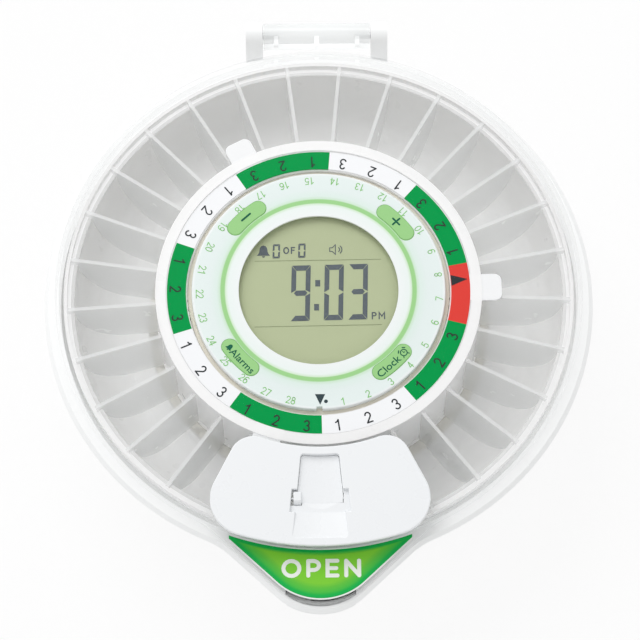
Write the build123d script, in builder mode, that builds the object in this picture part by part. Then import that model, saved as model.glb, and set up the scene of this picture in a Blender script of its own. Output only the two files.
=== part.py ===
# Round automatic pill box: white base, rotating clear tray of 29 compartments, fixed control panel,
# clear hinged lid with a dispensing hatch. Lengths are in millimetres. Z is up, the origin is on the
# table below the tray's axis, and the nose points to -Y.
from build123d import *
from math import acos, cos, pi, radians, sin, sqrt, tan
import os

os.makedirs("parts", exist_ok=True)

# Base
base_radius = 95.0
base_rim_drop = 6.7
rim_rise = 1.2
rim_taper_deg = 50.0
base_bottom_share = 0.795
base_bottom_z = 1.5
shell_wall = 2.8
nose_projection = 17.5
nose_tip_radius = 21.5
nose_flank_inset = 6.95
nose_blend_radius = 27.0
bottom_nose_projection = 10.5
bottom_nose_tip_radius = 16.0
bottom_nose_flank_inset = 8.3
nose_hollow_drop = 2.0
well_floor_thickness = 2.0
rail_width = 3.0

# Lid
lid_margin = 4.3
lid_nose_margin = 2.8
lid_nose_tip_radius = 22.8
lid_nose_flank_inset = 4.4
lid_headroom = 0.6
lid_wall = 1.5
lid_edge_round = 1.2
nose_flange_thickness = 1.8
label_margin = 1.2
label_thickness = 0.3
label_half_length = 31.0

# Tray
compartments = 29
tray_turn_deg = 0.9
tray_margin = 1.3
tray_inner_share = 0.6394
tray_depth = 26.0
tray_wall = 1.2
tray_curve_share = 0.538
tray_ledge_drop = 3.0
tray_step_width = 2.3
divider_thickness = 1.2
collar_inner_share = 0.806
collar_rim_width = 3.6
collar_thickness = 1.3
collar_recess_depth = 1.2
tray_rim_rise = 2.2

# Dosage ring
dosage_thickness = 0.6
dosage_margin = 0.4
dosage_tab_width = 9.6
dosage_tab_round = 2.4
dosage_tab_overhang = 6.8
dosage_tab_angles_deg = (90.6, 207.2, 341.5)

# Drive
gear_module = 1.0
ring_clearance = 3.0
pinion_teeth = 14
pressure_angle_deg = 20.0
ring_tip_share = 0.6
root_clearance = 0.25
backlash = 0.16
flank_steps = 4
drive_ring_height = 6.2
drive_flange_thickness = 2.7
drive_flange_width = 5.3
key_count = 3
key_width = 4.0
key_depth = 1.6
centring_rim_height = 1.8
motor_radius = 13.0
motor_floor_gap = 2.0
motor_screw_gap = 3.5
motor_ear_margin = 4.0
motor_ear_width = 8.0
motor_ear_thickness = 1.5
shaft_radius = 1.5

# Control column
column_wall = 2.0
column_boss_radius = 3.2
column_boss_inset = 5.7
column_boss_spread_deg = 10.5
column_window_margin = 1.0
column_window_headroom = 0.8
board_thickness = 1.6
board_margin = 0.9
buzzer_radius = 8.0
buzzer_height = 5.5
buzzer_offset = 14.0
buzzer_hole_radius = 1.5
buzzer_hole_depth = 0.8
switch_size = 6.0
switch_height = 3.6
switch_plunger_radius = 1.6
switch_plunger_height = 0.6
display_margin = 2.6
display_thickness = 2.5
display_holder_wall = 3.0

# Control panel and buttons
panel_gap = 1.6
panel_overhang = 0.7
panel_thickness = 2.2
panel_edge_round = 0.5
panel_notch_width = 2.0
panel_notch_depth = 1.0
window_share = 0.629
window_lip = 0.8
window_lip_width = 2.5
lens_thickness = 1.1
snap_width = 8.0
snap_depth = 3.0
snap_thickness = 1.5
dial_turn_deg = -2.3
button_names = ("clock_button", "plus_button", "minus_button", "alarms_button")
first_button_deg = 45.0
button_inset = 6.8
button_half_spread_deg = 8.3
button_width = 5.4
button_proud = 0.2
button_edge_round = 0.15
button_travel = 0.5
button_flange = 0.6
button_flange_thickness = 0.8
button_stem_radius = 1.5
button_stem_length = 1.75

# Hinge
hinge_projection = 6.2
hinge_lift = 0.5
hinge_barrel_radius = 4.8
hinge_bar_half_length = 19.1
hinge_ear_thickness = 6.0
hinge_pin_radius = 1.2
hinge_pin_grip = 5.5
hinge_arm_thickness = 2.0
hinge_arm_overlap = 3.2
hinge_rib_height = 2.2
hinge_rib_thickness = 1.6
hinge_rib_spacing = 14.5
ear_root_radius = 1.0
ear_root_drop = 10.5

# Hatch frame and flap
hatch_inner_margin = 1.75
hatch_overhang = 1.7
hatch_half_angle_deg = 26.8
hatch_inner_round = 8.0
hatch_outer_round = 13.0
hatch_plate_thickness = 1.0
hatch_edge_round = 0.4
hatch_collar_clearance = 0.4
hatch_collar_side_wall = 3.5
hatch_collar_end_wall = 1.3
channel_margin = 2.8
channel_round = 1.1
channel_edge_round = 0.3
channel_inner_half_width = 6.4
channel_outer_half_width = 9.2
flap_share = 0.511
ramp_overlap = 2.0
ramp_end_depth = 0.25
flap_pivot_drop = 2.5
flap_recess = 1.5
flap_thickness = 1.5
flap_gap = 0.13
flap_barrel_radius = 1.9
flap_dish_radius = 80.0
flap_dish_depth = 0.35
flap_ear_radius = 2.5
flap_ear_half_height = 2.2
flap_ear_width = 2.5
notch_depth = 1.85
notch_end_gap = 0.2
notch_side_gap = 0.8
pocket_length = 7.9
flap_pin_radius = 0.55

# Lock in the nose
recess_half_width = 11.7
recess_length = 14.5
recess_front_wall = 2.3
slider_length = 7.9
slider_end_gap = 0.4
slider_top_drop = 2.5
slider_travel = 4.0
bolt_rest_gap = 0.5
bolt_height = 2.4
bolt_width = 2.2
slider_tongue_depth = 1.2
slider_tongue_height = 2.0
slider_tongue_lift = 1.5
slider_grip_count = 4
slider_grip_pitch = 1.6
slider_grip_width = 0.7
slider_grip_depth = 0.5
hook_gap = 0.4
hook_thickness = 1.8
hook_setback = 8.0
hook_length = 5.0
hook_drop = 8.5
hook_floor_gap = 2.0
hook_window_gap = 0.3
hook_window_margin = 1.5

# Power and underside
bottom_cover_thickness = 2.0
battery_count = 4
battery_radius = 7.1
battery_length = 50.0
battery_nub_radius = 2.6
battery_nub_height = 1.0
battery_gap = 0.6
battery_end_gap = 0.4
battery_place_share = 0.186
battery_headroom = 1.5
battery_box_wall = 1.3
battery_box_top = 1.2
battery_flange_length = 8.0
battery_boss_radius = 3.2
contact_thickness = 0.4
contact_width = 9.0
contact_height = 10.0
contact_bump_radius = 2.2
contact_bump_height = 0.9
cover_corner_round = 1.0
cover_tongue_width = 8.0
cover_tongue_spacing = 24.0
cover_tongue_reach = 3.2
cover_tongue_thickness = 1.0
case_boss_radius = 3.5
case_boss_inset = 9.5
foot_radius = 6.0
foot_inset = 13.5
foot_recess = 0.5

# Screws
screw_radius = 1.45
screw_head_radius = 2.7
screw_head_height = 1.3
screw_length = 9.5
short_screw_length = 3.2

# Clearances
seat_gap = 0.3
side_gap = 0.3
slide_gap = 0.2
plate_fit = 0.1
button_gap = 0.25
running_gap = 0.05
fixed_gap = 0.02
overrun = 1.0

# Levels that follow, from the table up
cover_top_z = base_bottom_z + bottom_cover_thickness
battery_box_height = 2 * battery_radius + 2 * seat_gap + battery_box_top
well_ceiling_z = cover_top_z + battery_box_height + battery_headroom
well_floor_z = well_ceiling_z + well_floor_thickness
drive_ring_z = well_floor_z + seat_gap
tray_bottom_z = drive_ring_z + drive_flange_thickness
tray_floor_z = tray_bottom_z + tray_wall
tray_top_z = tray_floor_z + tray_depth
tray_curve_height = tray_depth - tray_ledge_drop
ledge_z = tray_floor_z + tray_curve_height
tray_rim_top_z = tray_top_z + tray_rim_rise
collar_top_z = tray_rim_top_z - collar_recess_depth
collar_bottom_z = collar_top_z - collar_thickness
base_rim_z = tray_top_z - base_rim_drop
base_height = base_rim_z - base_bottom_z
base_top_z = base_rim_z + rim_rise
lid_bottom_z = base_top_z + seat_gap
lid_top_z = tray_rim_top_z + lid_headroom + lid_wall
lid_height = lid_top_z - lid_bottom_z
plate_top_z = lid_top_z + hatch_plate_thickness
hatch_collar_depth = lid_top_z - collar_top_z - dosage_thickness - hatch_collar_clearance
flap_pivot_z = plate_top_z - flap_pivot_drop
flap_top_z = plate_top_z - flap_recess
panel_top_z = tray_rim_top_z
panel_z = panel_top_z - panel_thickness
display_top_z = panel_z - seat_gap
flange_z = panel_z - seat_gap - button_flange_thickness
stem_z = flange_z - button_stem_length
board_top_z = stem_z - running_gap - button_travel - switch_plunger_height - switch_height
board_z = board_top_z - board_thickness
pinion_z = drive_ring_z + seat_gap
pinion_height = drive_ring_height - 2 * seat_gap
motor_height = well_ceiling_z - cover_top_z - motor_floor_gap
hinge_z = lid_bottom_z + hinge_lift
ear_root_z = base_rim_z - ear_root_drop
recess_floor_z = lid_bottom_z - hook_drop - hook_floor_gap
recess_depth = base_top_z - recess_floor_z
slider_z = recess_floor_z + slide_gap
slider_top_z = base_top_z - slider_top_drop
slider_height = slider_top_z - slider_z

# Radii and reaches that follow, from the rim inwards
base_bottom_radius = base_radius * base_bottom_share
base_slope = (base_radius - base_bottom_radius) / base_height
base_nose_reach = base_radius + nose_projection
bottom_nose_reach = base_bottom_radius + bottom_nose_projection
lid_radius = base_radius - lid_margin
lid_nose_reach = base_nose_reach - lid_nose_margin
well_radius = lid_radius - lid_wall
tray_radius = well_radius - tray_margin
tray_rim_inner_radius = tray_radius - tray_wall
tray_inner_radius = tray_radius * tray_inner_share
tray_skirt_radius = tray_inner_radius - tray_wall
tray_curve_width = (tray_rim_inner_radius - tray_inner_radius) * tray_curve_share
curve_centre_r = tray_rim_inner_radius - tray_step_width - tray_curve_width
collar_inner_radius = tray_inner_radius * collar_inner_share
collar_recess_radius = tray_inner_radius - collar_rim_width
dosage_tab_reach = tray_inner_radius + dosage_tab_overhang
pitch_angle_deg = 360.0 / compartments
panel_radius = collar_inner_radius - panel_gap
window_radius = panel_radius * window_share
display_radius = window_radius + display_margin
button_place_radius = panel_radius - button_inset
column_radius = panel_radius - panel_overhang
column_boss_place_radius = column_radius - column_boss_inset
case_boss_place_radius = base_bottom_radius - case_boss_inset
foot_place_radius = base_bottom_radius - foot_inset

# Gears and motor that follow
ring_teeth = 2 * round((column_radius + ring_clearance) / gear_module)
ring_pitch_radius = gear_module * ring_teeth / 2
ring_space_radius = ring_pitch_radius + gear_module + root_clearance
ring_tip_radius = ring_pitch_radius - gear_module * ring_tip_share
drive_ring_radius = tray_skirt_radius - side_gap
drive_flange_radius = drive_ring_radius + drive_flange_width
rail_radius = (ring_space_radius + drive_ring_radius) / 2
pinion_pitch_radius = gear_module * pinion_teeth / 2
pinion_tip_radius = pinion_pitch_radius + gear_module
pinion_root_radius = pinion_pitch_radius - gear_module - root_clearance
pinion_y = ring_pitch_radius - pinion_pitch_radius
column_window_half_width = pinion_tip_radius + column_window_margin
column_window_height = drive_ring_height + column_window_headroom
motor_screw_x = motor_radius + motor_screw_gap
motor_ear_reach = motor_screw_x + motor_ear_margin

# Batteries, hinge, hatch and lock that follow
battery_pitch = 2 * battery_radius + battery_gap
battery_box_half_width = battery_count * battery_pitch / 2 + battery_end_gap
battery_centre_y = -base_bottom_radius * battery_place_share
battery_screw_x = battery_box_half_width - battery_flange_length
hinge_y = base_radius + hinge_projection
hatch_inner_radius = tray_inner_radius + hatch_inner_margin
hatch_outer_radius = lid_radius + hatch_overhang
channel_inner_y = hatch_inner_radius + channel_margin
channel_outer_y = hatch_outer_radius - channel_margin
channel_length = channel_outer_y - channel_inner_y
hatch_collar_inner_y = channel_inner_y - hatch_collar_end_wall
hatch_collar_outer_y = channel_outer_y - ramp_overlap
flap_pivot_y = channel_inner_y + channel_length * flap_share
width_slope = (channel_outer_half_width - channel_inner_half_width) / channel_length
pivot_half_width = channel_inner_half_width + width_slope * (flap_pivot_y - channel_inner_y)
flap_ear_outer_x = pivot_half_width + notch_depth - notch_side_gap
flap_ear_inner_x = flap_ear_outer_x - flap_ear_width
notch_inner_y = flap_pivot_y - flap_ear_radius - notch_end_gap
notch_outer_y = flap_pivot_y + flap_ear_radius + notch_end_gap
hatch_collar_half_width = pivot_half_width + notch_depth + hatch_collar_side_wall
recess_inner_y = base_nose_reach - recess_length
slider_left_x = recess_half_width - slider_end_gap
slider_right_x = slider_length - slider_left_x
hook_x = slider_right_x + slider_travel + hook_gap
hook_outer_y = base_nose_reach - hook_setback
hook_window_length = bolt_width + 2 * hook_window_gap
hook_window_height = bolt_height + 2 * hook_window_gap
bolt_length = hook_x - bolt_rest_gap - slider_right_x


def shell_radius(z):
    """Outer radius of the tapered base at a height."""
    return base_radius - (base_rim_z - z) * base_slope


def polar_point(radius, angle_deg):
    """Point at a radius and an angle counted from the nose, counter-clockwise from above."""
    turn = radians(angle_deg)
    return (radius * sin(turn), -radius * cos(turn))


def from_x_deg(angle_deg):
    """The same angle counted from +X."""
    return angle_deg - 90.0


def upright_plane(angle_deg):
    """Plane through the Z axis whose local X points outwards at an angle counted from the nose."""
    out_x, out_y = polar_point(1, angle_deg)
    return Plane(origin=(0, 0, 0), x_dir=(out_x, out_y, 0), z_dir=(out_y, -out_x, 0))


def nose_outline(radius, reach, tip_radius, flank_inset):
    """Circle with a nose towards -Y, rounded at its tip, blended into the circle by hollow arcs.
    The nose's flanks run the inset nearer to the axis than the circle does."""
    flank_distance = radius - flank_inset
    slope = acos((flank_distance - tip_radius) / (reach - tip_radius))
    apex_y = -flank_distance / cos(slope)
    root = (flank_distance * sin(slope), -flank_distance * cos(slope))
    with BuildSketch() as outline:
        Circle(radius)
        with BuildLine():
            Polyline((0, apex_y), root, (-root[0], root[1]), close=True)
        make_face()
        fillet(vertices().sort_by(Axis.Y)[0], tip_radius)
        fillet(vertices().sort_by(Axis.Y)[2:4], nose_blend_radius)
    return outline.sketch


def bottom_outline(inset):
    """Outline of the base's bottom, moved inwards by the inset."""
    return nose_outline(
        base_bottom_radius - inset,
        bottom_nose_reach - inset,
        bottom_nose_tip_radius - inset,
        bottom_nose_flank_inset,
    )


def rim_outline(inset):
    """Outline of the base's rim, moved inwards by the inset."""
    return nose_outline(
        base_radius - inset,
        base_nose_reach - inset,
        nose_tip_radius - inset,
        nose_flank_inset,
    )


def lid_outline(inset):
    """Outline of the lid with its nose flange, moved inwards by the inset."""
    return nose_outline(
        lid_radius - inset,
        lid_nose_reach - inset,
        lid_nose_tip_radius - inset,
        lid_nose_flank_inset,
    )


def base_body(inset):
    """Tapered solid of the base from its rim to its bottom, all its sides moved inwards by the inset."""
    bottom = bottom_outline(inset)
    rim = rim_outline(inset)
    with BuildPart() as body:
        with BuildSketch(Plane.XY.offset(base_bottom_z)):
            add(bottom)
        with BuildSketch(Plane.XY.offset(base_rim_z)):
            add(rim)
        loft(ruled=True)
    return body.part


def button_outline(index, width):
    """Curved slot on the buttons' circle."""
    middle_deg = from_x_deg(first_button_deg + index * 360.0 / len(button_names) + dial_turn_deg)
    start_deg = middle_deg - button_half_spread_deg
    path = CenterArc((0, 0), button_place_radius, start_deg, 2 * button_half_spread_deg)
    with BuildSketch() as outline:
        SlotArc(path, width)
    return outline.sketch


def channel_half_width(distance):
    """Half-width of the hatch's channel at a distance from the axis."""
    return channel_inner_half_width + width_slope * (distance - channel_inner_y)


def band_outline(widening, inner_y, outer_y):
    """The channel's width and the widening at each side, between two distances from the axis."""
    inner_half_width = channel_half_width(inner_y) + widening
    outer_half_width = channel_half_width(outer_y) + widening
    with BuildSketch() as outline:
        with BuildLine():
            Polyline(
                (inner_half_width, -inner_y),
                (outer_half_width, -outer_y),
                (-outer_half_width, -outer_y),
                (-inner_half_width, -inner_y),
                close=True,
            )
        make_face()
    return outline.sketch


def channel_outline(inset, outer_y):
    """The channel from its curved inner end outwards, its sides and inner end moved inwards by the inset."""
    with BuildSketch() as outline:
        add(band_outline(-inset, hatch_inner_radius, outer_y))
        Circle(channel_inner_y + inset, mode=Mode.SUBTRACT)
        fillet(vertices().sort_by(Axis.Y)[-2:], channel_round - inset)
    return outline.sketch


def gear_outline(teeth, centre_y, tip_radius, root_radius, widening):
    """Face with involute teeth, one of them centred on +Y. The widening is along the pitch circle."""
    pitch_radius = gear_module * teeth / 2
    pressure = radians(pressure_angle_deg)
    involute_radius = pitch_radius * cos(pressure)
    half_at_pitch = pi / (2 * teeth) + widening / (2 * pitch_radius)
    start_radius = max(root_radius, involute_radius)
    flank = []
    for step in range(flank_steps + 1):
        radius = start_radius + (tip_radius - start_radius) * step / flank_steps
        local = acos(min(involute_radius / radius, 1))
        flank.append((radius, half_at_pitch + tan(pressure) - pressure - tan(local) + local))
    if root_radius < start_radius:
        flank.insert(0, (root_radius, flank[0][1]))
    points = []
    for tooth in range(teeth):
        middle = pi / 2 + 2 * pi * tooth / teeth
        rising = [(radius, middle - half) for radius, half in flank]
        falling = [(radius, middle + half) for radius, half in reversed(flank)]
        points += [(r * cos(a), centre_y + r * sin(a)) for r, a in rising + falling]
    with BuildSketch() as outline:
        with BuildLine():
            Polyline(*points, close=True)
        make_face()
    return outline.sketch


def save(builder, name):
    """Label a finished piece and write it."""
    builder.part.label = name
    export_step(builder.part, f"parts/{name}.step")


# Places that several pieces share
case_boss_points = [polar_point(case_boss_place_radius, 45.0 + 90.0 * k) for k in range(4)]
foot_points = [polar_point(foot_place_radius, 90.0 * k) for k in range(4)]
centre_point = (0, 0)
column_boss_angles = [side + spread * column_boss_spread_deg for side in (90.0, 270.0) for spread in (-1, 1)]
column_boss_points = [polar_point(column_boss_place_radius, angle) for angle in column_boss_angles]
motor_screw_points = [(-motor_screw_x, pinion_y), (motor_screw_x, pinion_y)]
battery_xs = [(k - (battery_count - 1) / 2) * battery_pitch for k in range(battery_count)]
battery_z = cover_top_z + seat_gap + battery_radius
contact_reach = contact_thickness + contact_bump_height
battery_box_half_length = battery_length / 2 + contact_reach
battery_box_front_y = battery_centre_y - battery_box_half_length
battery_box_back_y = battery_centre_y + battery_box_half_length
battery_screw_y = battery_box_back_y + battery_box_wall + battery_flange_length / 2
battery_screw_point = (battery_screw_x, battery_screw_y)
battery_opening_back_y = battery_screw_y + battery_flange_length / 2
battery_opening_length = battery_opening_back_y - battery_box_front_y
battery_opening_y = (battery_opening_back_y + battery_box_front_y) / 2
button_points = [
    polar_point(button_place_radius, first_button_deg + k * 360.0 / len(button_names) + dial_turn_deg)
    for k in range(len(button_names))
]

# Base shell: tapered tub with the nose, the well for the tray, the hinge ears and the lock's recess
outer_rim = rim_outline(0)
cover_seat = bottom_outline(shell_wall)
shell_solid = base_body(0)
hollow_solid = base_body(shell_wall)
with BuildPart() as nose_hollow:
    add(hollow_solid)
    with Locations((0, 0, recess_floor_z - nose_hollow_drop)):
        Box(
            4 * base_radius,
            4 * base_radius,
            base_height,
            align=(Align.CENTER, Align.CENTER, Align.MIN),
            mode=Mode.SUBTRACT,
        )
    with BuildSketch(Plane.XZ):
        with BuildLine():
            Polyline(
                (0, base_bottom_z),
                (shell_radius(base_bottom_z), base_bottom_z),
                (shell_radius(base_rim_z), base_rim_z),
                (0, base_rim_z),
                close=True,
            )
        make_face()
    revolve(axis=Axis.Z, mode=Mode.SUBTRACT)

recess_solid = base_body(recess_front_wall)
with BuildPart() as lock_recess:
    add(recess_solid)
    extrude(faces().sort_by(Axis.Z)[-1], amount=rim_rise + overrun)
    with Locations((0, -recess_inner_y, recess_floor_z)):
        Box(
            2 * recess_half_width,
            recess_length,
            recess_depth + overrun,
            align=(Align.CENTER, Align.MAX, Align.MIN),
            mode=Mode.INTERSECT,
        )

with BuildPart() as base_shell:
    add(shell_solid)
    with BuildSketch(Plane.XY.offset(base_rim_z)):
        add(outer_rim)
    extrude(amount=rim_rise, taper=rim_taper_deg)
    # hinge ears, rooted in the wall
    ear_outer_x = hinge_bar_half_length + side_gap + hinge_ear_thickness
    ear_root_y = sqrt(shell_radius(ear_root_z) ** 2 - ear_outer_x**2) - ear_root_radius
    for side in (-1, 1):
        with BuildSketch(Plane.YZ.offset(side * ear_outer_x)):
            with Locations((hinge_y, hinge_z)):
                Circle(hinge_barrel_radius)
            with Locations((ear_root_y, ear_root_z)):
                Circle(ear_root_radius)
            make_hull()
        extrude(amount=-side * hinge_ear_thickness)
    with BuildSketch(Plane.YZ.offset(-ear_outer_x)):
        with Locations((hinge_y, hinge_z)):
            Circle(hinge_pin_radius + fixed_gap)
    extrude(amount=2 * ear_outer_x, mode=Mode.SUBTRACT)
    # nose hollow, well for the tray, space below it and the seat of the bottom cover
    add(nose_hollow.part, mode=Mode.SUBTRACT)
    well_floor_radius = shell_radius(well_floor_z) - shell_wall
    well_bend_z = well_floor_z + (well_radius - well_floor_radius) / base_slope
    with BuildSketch(Plane.XZ):
        with BuildLine():
            Polyline(
                (0, well_floor_z),
                (well_floor_radius, well_floor_z),
                (well_radius, well_bend_z),
                (well_radius, base_top_z + overrun),
                (0, base_top_z + overrun),
                close=True,
            )
        make_face()
    revolve(axis=Axis.Z, mode=Mode.SUBTRACT)
    with BuildSketch(Plane.XZ):
        with BuildLine():
            Polyline(
                (0, base_bottom_z - overrun),
                (shell_radius(base_bottom_z - overrun) - shell_wall, base_bottom_z - overrun),
                (shell_radius(well_ceiling_z) - shell_wall, well_ceiling_z),
                (0, well_ceiling_z),
                close=True,
            )
        make_face()
    revolve(axis=Axis.Z, mode=Mode.SUBTRACT)
    with BuildSketch(Plane.XY.offset(base_bottom_z)):
        add(cover_seat)
    extrude(amount=bottom_cover_thickness, mode=Mode.SUBTRACT)
    # rim that centres the drive ring, and the rail it runs on
    with BuildSketch(Plane.XY.offset(well_floor_z)):
        Circle(drive_flange_radius + side_gap + tray_wall)
        Circle(drive_flange_radius + side_gap, mode=Mode.SUBTRACT)
    extrude(amount=centring_rim_height)
    with BuildSketch(Plane.XY.offset(well_floor_z)):
        Circle(rail_radius + rail_width / 2)
        Circle(rail_radius - rail_width / 2, mode=Mode.SUBTRACT)
    extrude(amount=seat_gap)
    # bosses of the case screws, and the holes in the well's floor
    with BuildSketch(Plane.XY.offset(cover_top_z)):
        with Locations(*case_boss_points):
            Circle(case_boss_radius)
    extrude(amount=well_ceiling_z - cover_top_z)
    with BuildSketch(Plane.XY.offset(cover_top_z)):
        with Locations(*case_boss_points):
            Circle(screw_radius + running_gap)
    extrude(amount=screw_length, mode=Mode.SUBTRACT)
    with BuildSketch(Plane.XY.offset(well_ceiling_z)):
        with Locations(*column_boss_points, *motor_screw_points):
            Circle(screw_radius + running_gap)
        with Locations((0, pinion_y)):
            Circle(shaft_radius + side_gap)
    extrude(amount=well_floor_thickness, mode=Mode.SUBTRACT)
    # recess of the lock, with a groove for the slider's tongue
    add(lock_recess.part, mode=Mode.SUBTRACT)
    groove_z = recess_floor_z + slide_gap + slider_tongue_lift
    groove_depth = slider_tongue_depth + slide_gap
    with Locations((0, -recess_inner_y, groove_z - slide_gap)):
        Box(
            2 * recess_half_width,
            2 * groove_depth,
            slider_tongue_height + 2 * slide_gap,
            align=(Align.CENTER, Align.CENTER, Align.MIN),
            mode=Mode.SUBTRACT,
        )
save(base_shell, "base_shell")

# Bottom cover: plate of the base's outline with the battery opening and pockets for the feet
cover_plate = bottom_outline(shell_wall + side_gap)
with BuildPart() as bottom_cover:
    with BuildSketch(Plane.XY.offset(base_bottom_z)):
        add(cover_plate)
        with Locations((0, battery_opening_y)):
            Rectangle(2 * battery_box_half_width, battery_opening_length, mode=Mode.SUBTRACT)
        with Locations(*case_boss_points):
            Circle(screw_radius + running_gap, mode=Mode.SUBTRACT)
    extrude(amount=bottom_cover_thickness)
    with BuildSketch(Plane.XY.offset(base_bottom_z)):
        with Locations(*case_boss_points):
            Circle(screw_head_radius + side_gap)
    extrude(amount=screw_head_height, mode=Mode.SUBTRACT)
    with BuildSketch(Plane.XY.offset(base_bottom_z)):
        with Locations(*foot_points):
            Circle(foot_radius + fixed_gap)
    extrude(amount=foot_recess, mode=Mode.SUBTRACT)
save(bottom_cover, "bottom_cover")

# Rubber feet: four near the edge and one on the battery cover
with BuildPart() as rubber_feet:
    with BuildSketch():
        with Locations(*foot_points, centre_point):
            Circle(foot_radius)
    extrude(amount=base_bottom_z + foot_recess)
save(rubber_feet, "rubber_feet")

# Case screws, from below into the bosses of the base
with BuildPart() as case_screws:
    with BuildSketch(Plane.XY.offset(base_bottom_z)):
        with Locations(*case_boss_points):
            Circle(screw_head_radius)
    extrude(amount=screw_head_height)
    with BuildSketch(Plane.XY.offset(base_bottom_z + screw_head_height)):
        with Locations(*case_boss_points):
            Circle(screw_radius)
    extrude(amount=screw_length)
save(case_screws, "case_screws")

# Battery box, open below, with the boss for the screw of its cover
outer_length = 2 * (battery_box_half_length + battery_box_wall)
with BuildPart() as battery_box:
    with BuildSketch(Plane.XY.offset(cover_top_z)):
        with Locations((0, battery_centre_y)):
            Rectangle(2 * (battery_box_half_width + battery_box_wall), outer_length)
    extrude(amount=battery_box_height)
    with BuildSketch(Plane.XY.offset(cover_top_z)):
        with Locations((0, battery_centre_y)):
            Rectangle(2 * battery_box_half_width, 2 * battery_box_half_length)
    extrude(amount=battery_box_height - battery_box_top, mode=Mode.SUBTRACT)
    with BuildSketch(Plane.XY.offset(cover_top_z)):
        with Locations(battery_screw_point):
            Circle(battery_boss_radius)
        with Locations((battery_screw_x, (battery_screw_y + battery_box_back_y) / 2)):
            Rectangle(2 * battery_boss_radius, battery_screw_y - battery_box_back_y)
    extrude(amount=well_ceiling_z - cover_top_z)
    with BuildSketch(Plane.XY.offset(cover_top_z)):
        with Locations(battery_screw_point):
            Circle(screw_radius + running_gap)
    extrude(amount=screw_length, mode=Mode.SUBTRACT)
    with BuildSketch(Plane.XY.offset(cover_top_z)):
        with Locations((0, battery_box_front_y - battery_box_wall / 2)):
            with GridLocations(cover_tongue_spacing, 0, 2, 1):
                Rectangle(cover_tongue_width + 2 * side_gap, battery_box_wall + overrun)
    extrude(amount=cover_tongue_thickness + side_gap, mode=Mode.SUBTRACT)
save(battery_box, "battery_box")

# Battery cover: flat plate with two tongues, held by one screw
with BuildPart() as battery_cover:
    cover_half_width = battery_box_half_width - side_gap
    with BuildSketch(Plane.XY.offset(base_bottom_z)):
        with Locations((0, battery_opening_y)):
            RectangleRounded(2 * cover_half_width, battery_opening_length - 2 * side_gap, cover_corner_round)
        with Locations(battery_screw_point):
            Circle(screw_radius + running_gap, mode=Mode.SUBTRACT)
    extrude(amount=bottom_cover_thickness)
    with BuildSketch(Plane.XY.offset(base_bottom_z)):
        with Locations(battery_screw_point):
            Circle(screw_head_radius + side_gap)
    extrude(amount=screw_head_height, mode=Mode.SUBTRACT)
    with BuildSketch(Plane.XY.offset(base_bottom_z)):
        with Locations(centre_point):
            Circle(foot_radius + fixed_gap)
    extrude(amount=foot_recess, mode=Mode.SUBTRACT)
    with BuildSketch(Plane.XY.offset(cover_top_z)):
        tongue_length = cover_tongue_reach + contact_reach - side_gap
        with Locations((0, battery_box_front_y - cover_tongue_reach + tongue_length / 2)):
            with GridLocations(cover_tongue_spacing, 0, 2, 1):
                Rectangle(cover_tongue_width, tongue_length)
    extrude(amount=cover_tongue_thickness)
save(battery_cover, "battery_cover")

# Screw of the battery cover
with BuildPart() as battery_cover_screw:
    with BuildSketch(Plane.XY.offset(base_bottom_z)):
        with Locations(battery_screw_point):
            Circle(screw_head_radius)
    extrude(amount=screw_head_height)
    with BuildSketch(Plane.XY.offset(base_bottom_z + screw_head_height)):
        with Locations(battery_screw_point):
            Circle(screw_radius)
    extrude(amount=screw_length)
save(battery_cover_screw, "battery_cover_screw")

# Batteries: AA cells side by side, turned end for end in turn
for index, x in enumerate(battery_xs):
    facing = 1 if index % 2 else -1
    start_y = battery_centre_y - facing * battery_length / 2
    shoulder_y = start_y + facing * (battery_length - battery_nub_height)
    with BuildPart() as battery:
        with BuildSketch(Plane(origin=(x, start_y, battery_z), z_dir=(0, facing, 0))):
            Circle(battery_radius)
        extrude(amount=battery_length - battery_nub_height)
        with BuildSketch(Plane(origin=(x, shoulder_y, battery_z), z_dir=(0, facing, 0))):
            Circle(battery_nub_radius)
        extrude(amount=battery_nub_height)
    save(battery, f"battery_{index + 1}")

# Battery contacts: a plate with a bump at each end of each cell
with BuildPart() as battery_contacts:
    contact_points = [(x, battery_z) for x in battery_xs]
    for end in (-1, 1):
        wall_y = battery_centre_y + end * battery_box_half_length
        wall_plane = Plane(origin=(0, wall_y, 0), x_dir=(1, 0, 0), z_dir=(0, -1, 0))
        with BuildSketch(wall_plane):
            with Locations(*contact_points):
                Rectangle(contact_width, contact_height)
        extrude(amount=end * contact_thickness)
        with BuildSketch(wall_plane):
            with Locations(*contact_points):
                Circle(contact_bump_radius)
        extrude(amount=end * contact_reach)
save(battery_contacts, "battery_contacts")

# Gear motor, hung from the well's floor and bored for its output shaft
shaft_bottom_z = well_ceiling_z - motor_height / 2
with BuildPart() as gear_motor:
    with BuildSketch(Plane.XY.offset(well_ceiling_z)):
        with Locations((0, pinion_y)):
            Circle(motor_radius)
    extrude(amount=-motor_height)
    with BuildSketch(Plane.XY.offset(well_ceiling_z)):
        with Locations((0, pinion_y)):
            SlotOverall(2 * motor_ear_reach, motor_ear_width)
    extrude(amount=-motor_ear_thickness)
    with BuildSketch(Plane.XY.offset(well_ceiling_z)):
        with Locations(*motor_screw_points):
            Circle(screw_radius + running_gap)
    extrude(amount=-motor_ear_thickness, mode=Mode.SUBTRACT)
    with BuildSketch(Plane.XY.offset(well_ceiling_z)):
        with Locations((0, pinion_y)):
            Circle(shaft_radius + running_gap)
    extrude(amount=shaft_bottom_z - well_ceiling_z, mode=Mode.SUBTRACT)
save(gear_motor, "gear_motor")

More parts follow.
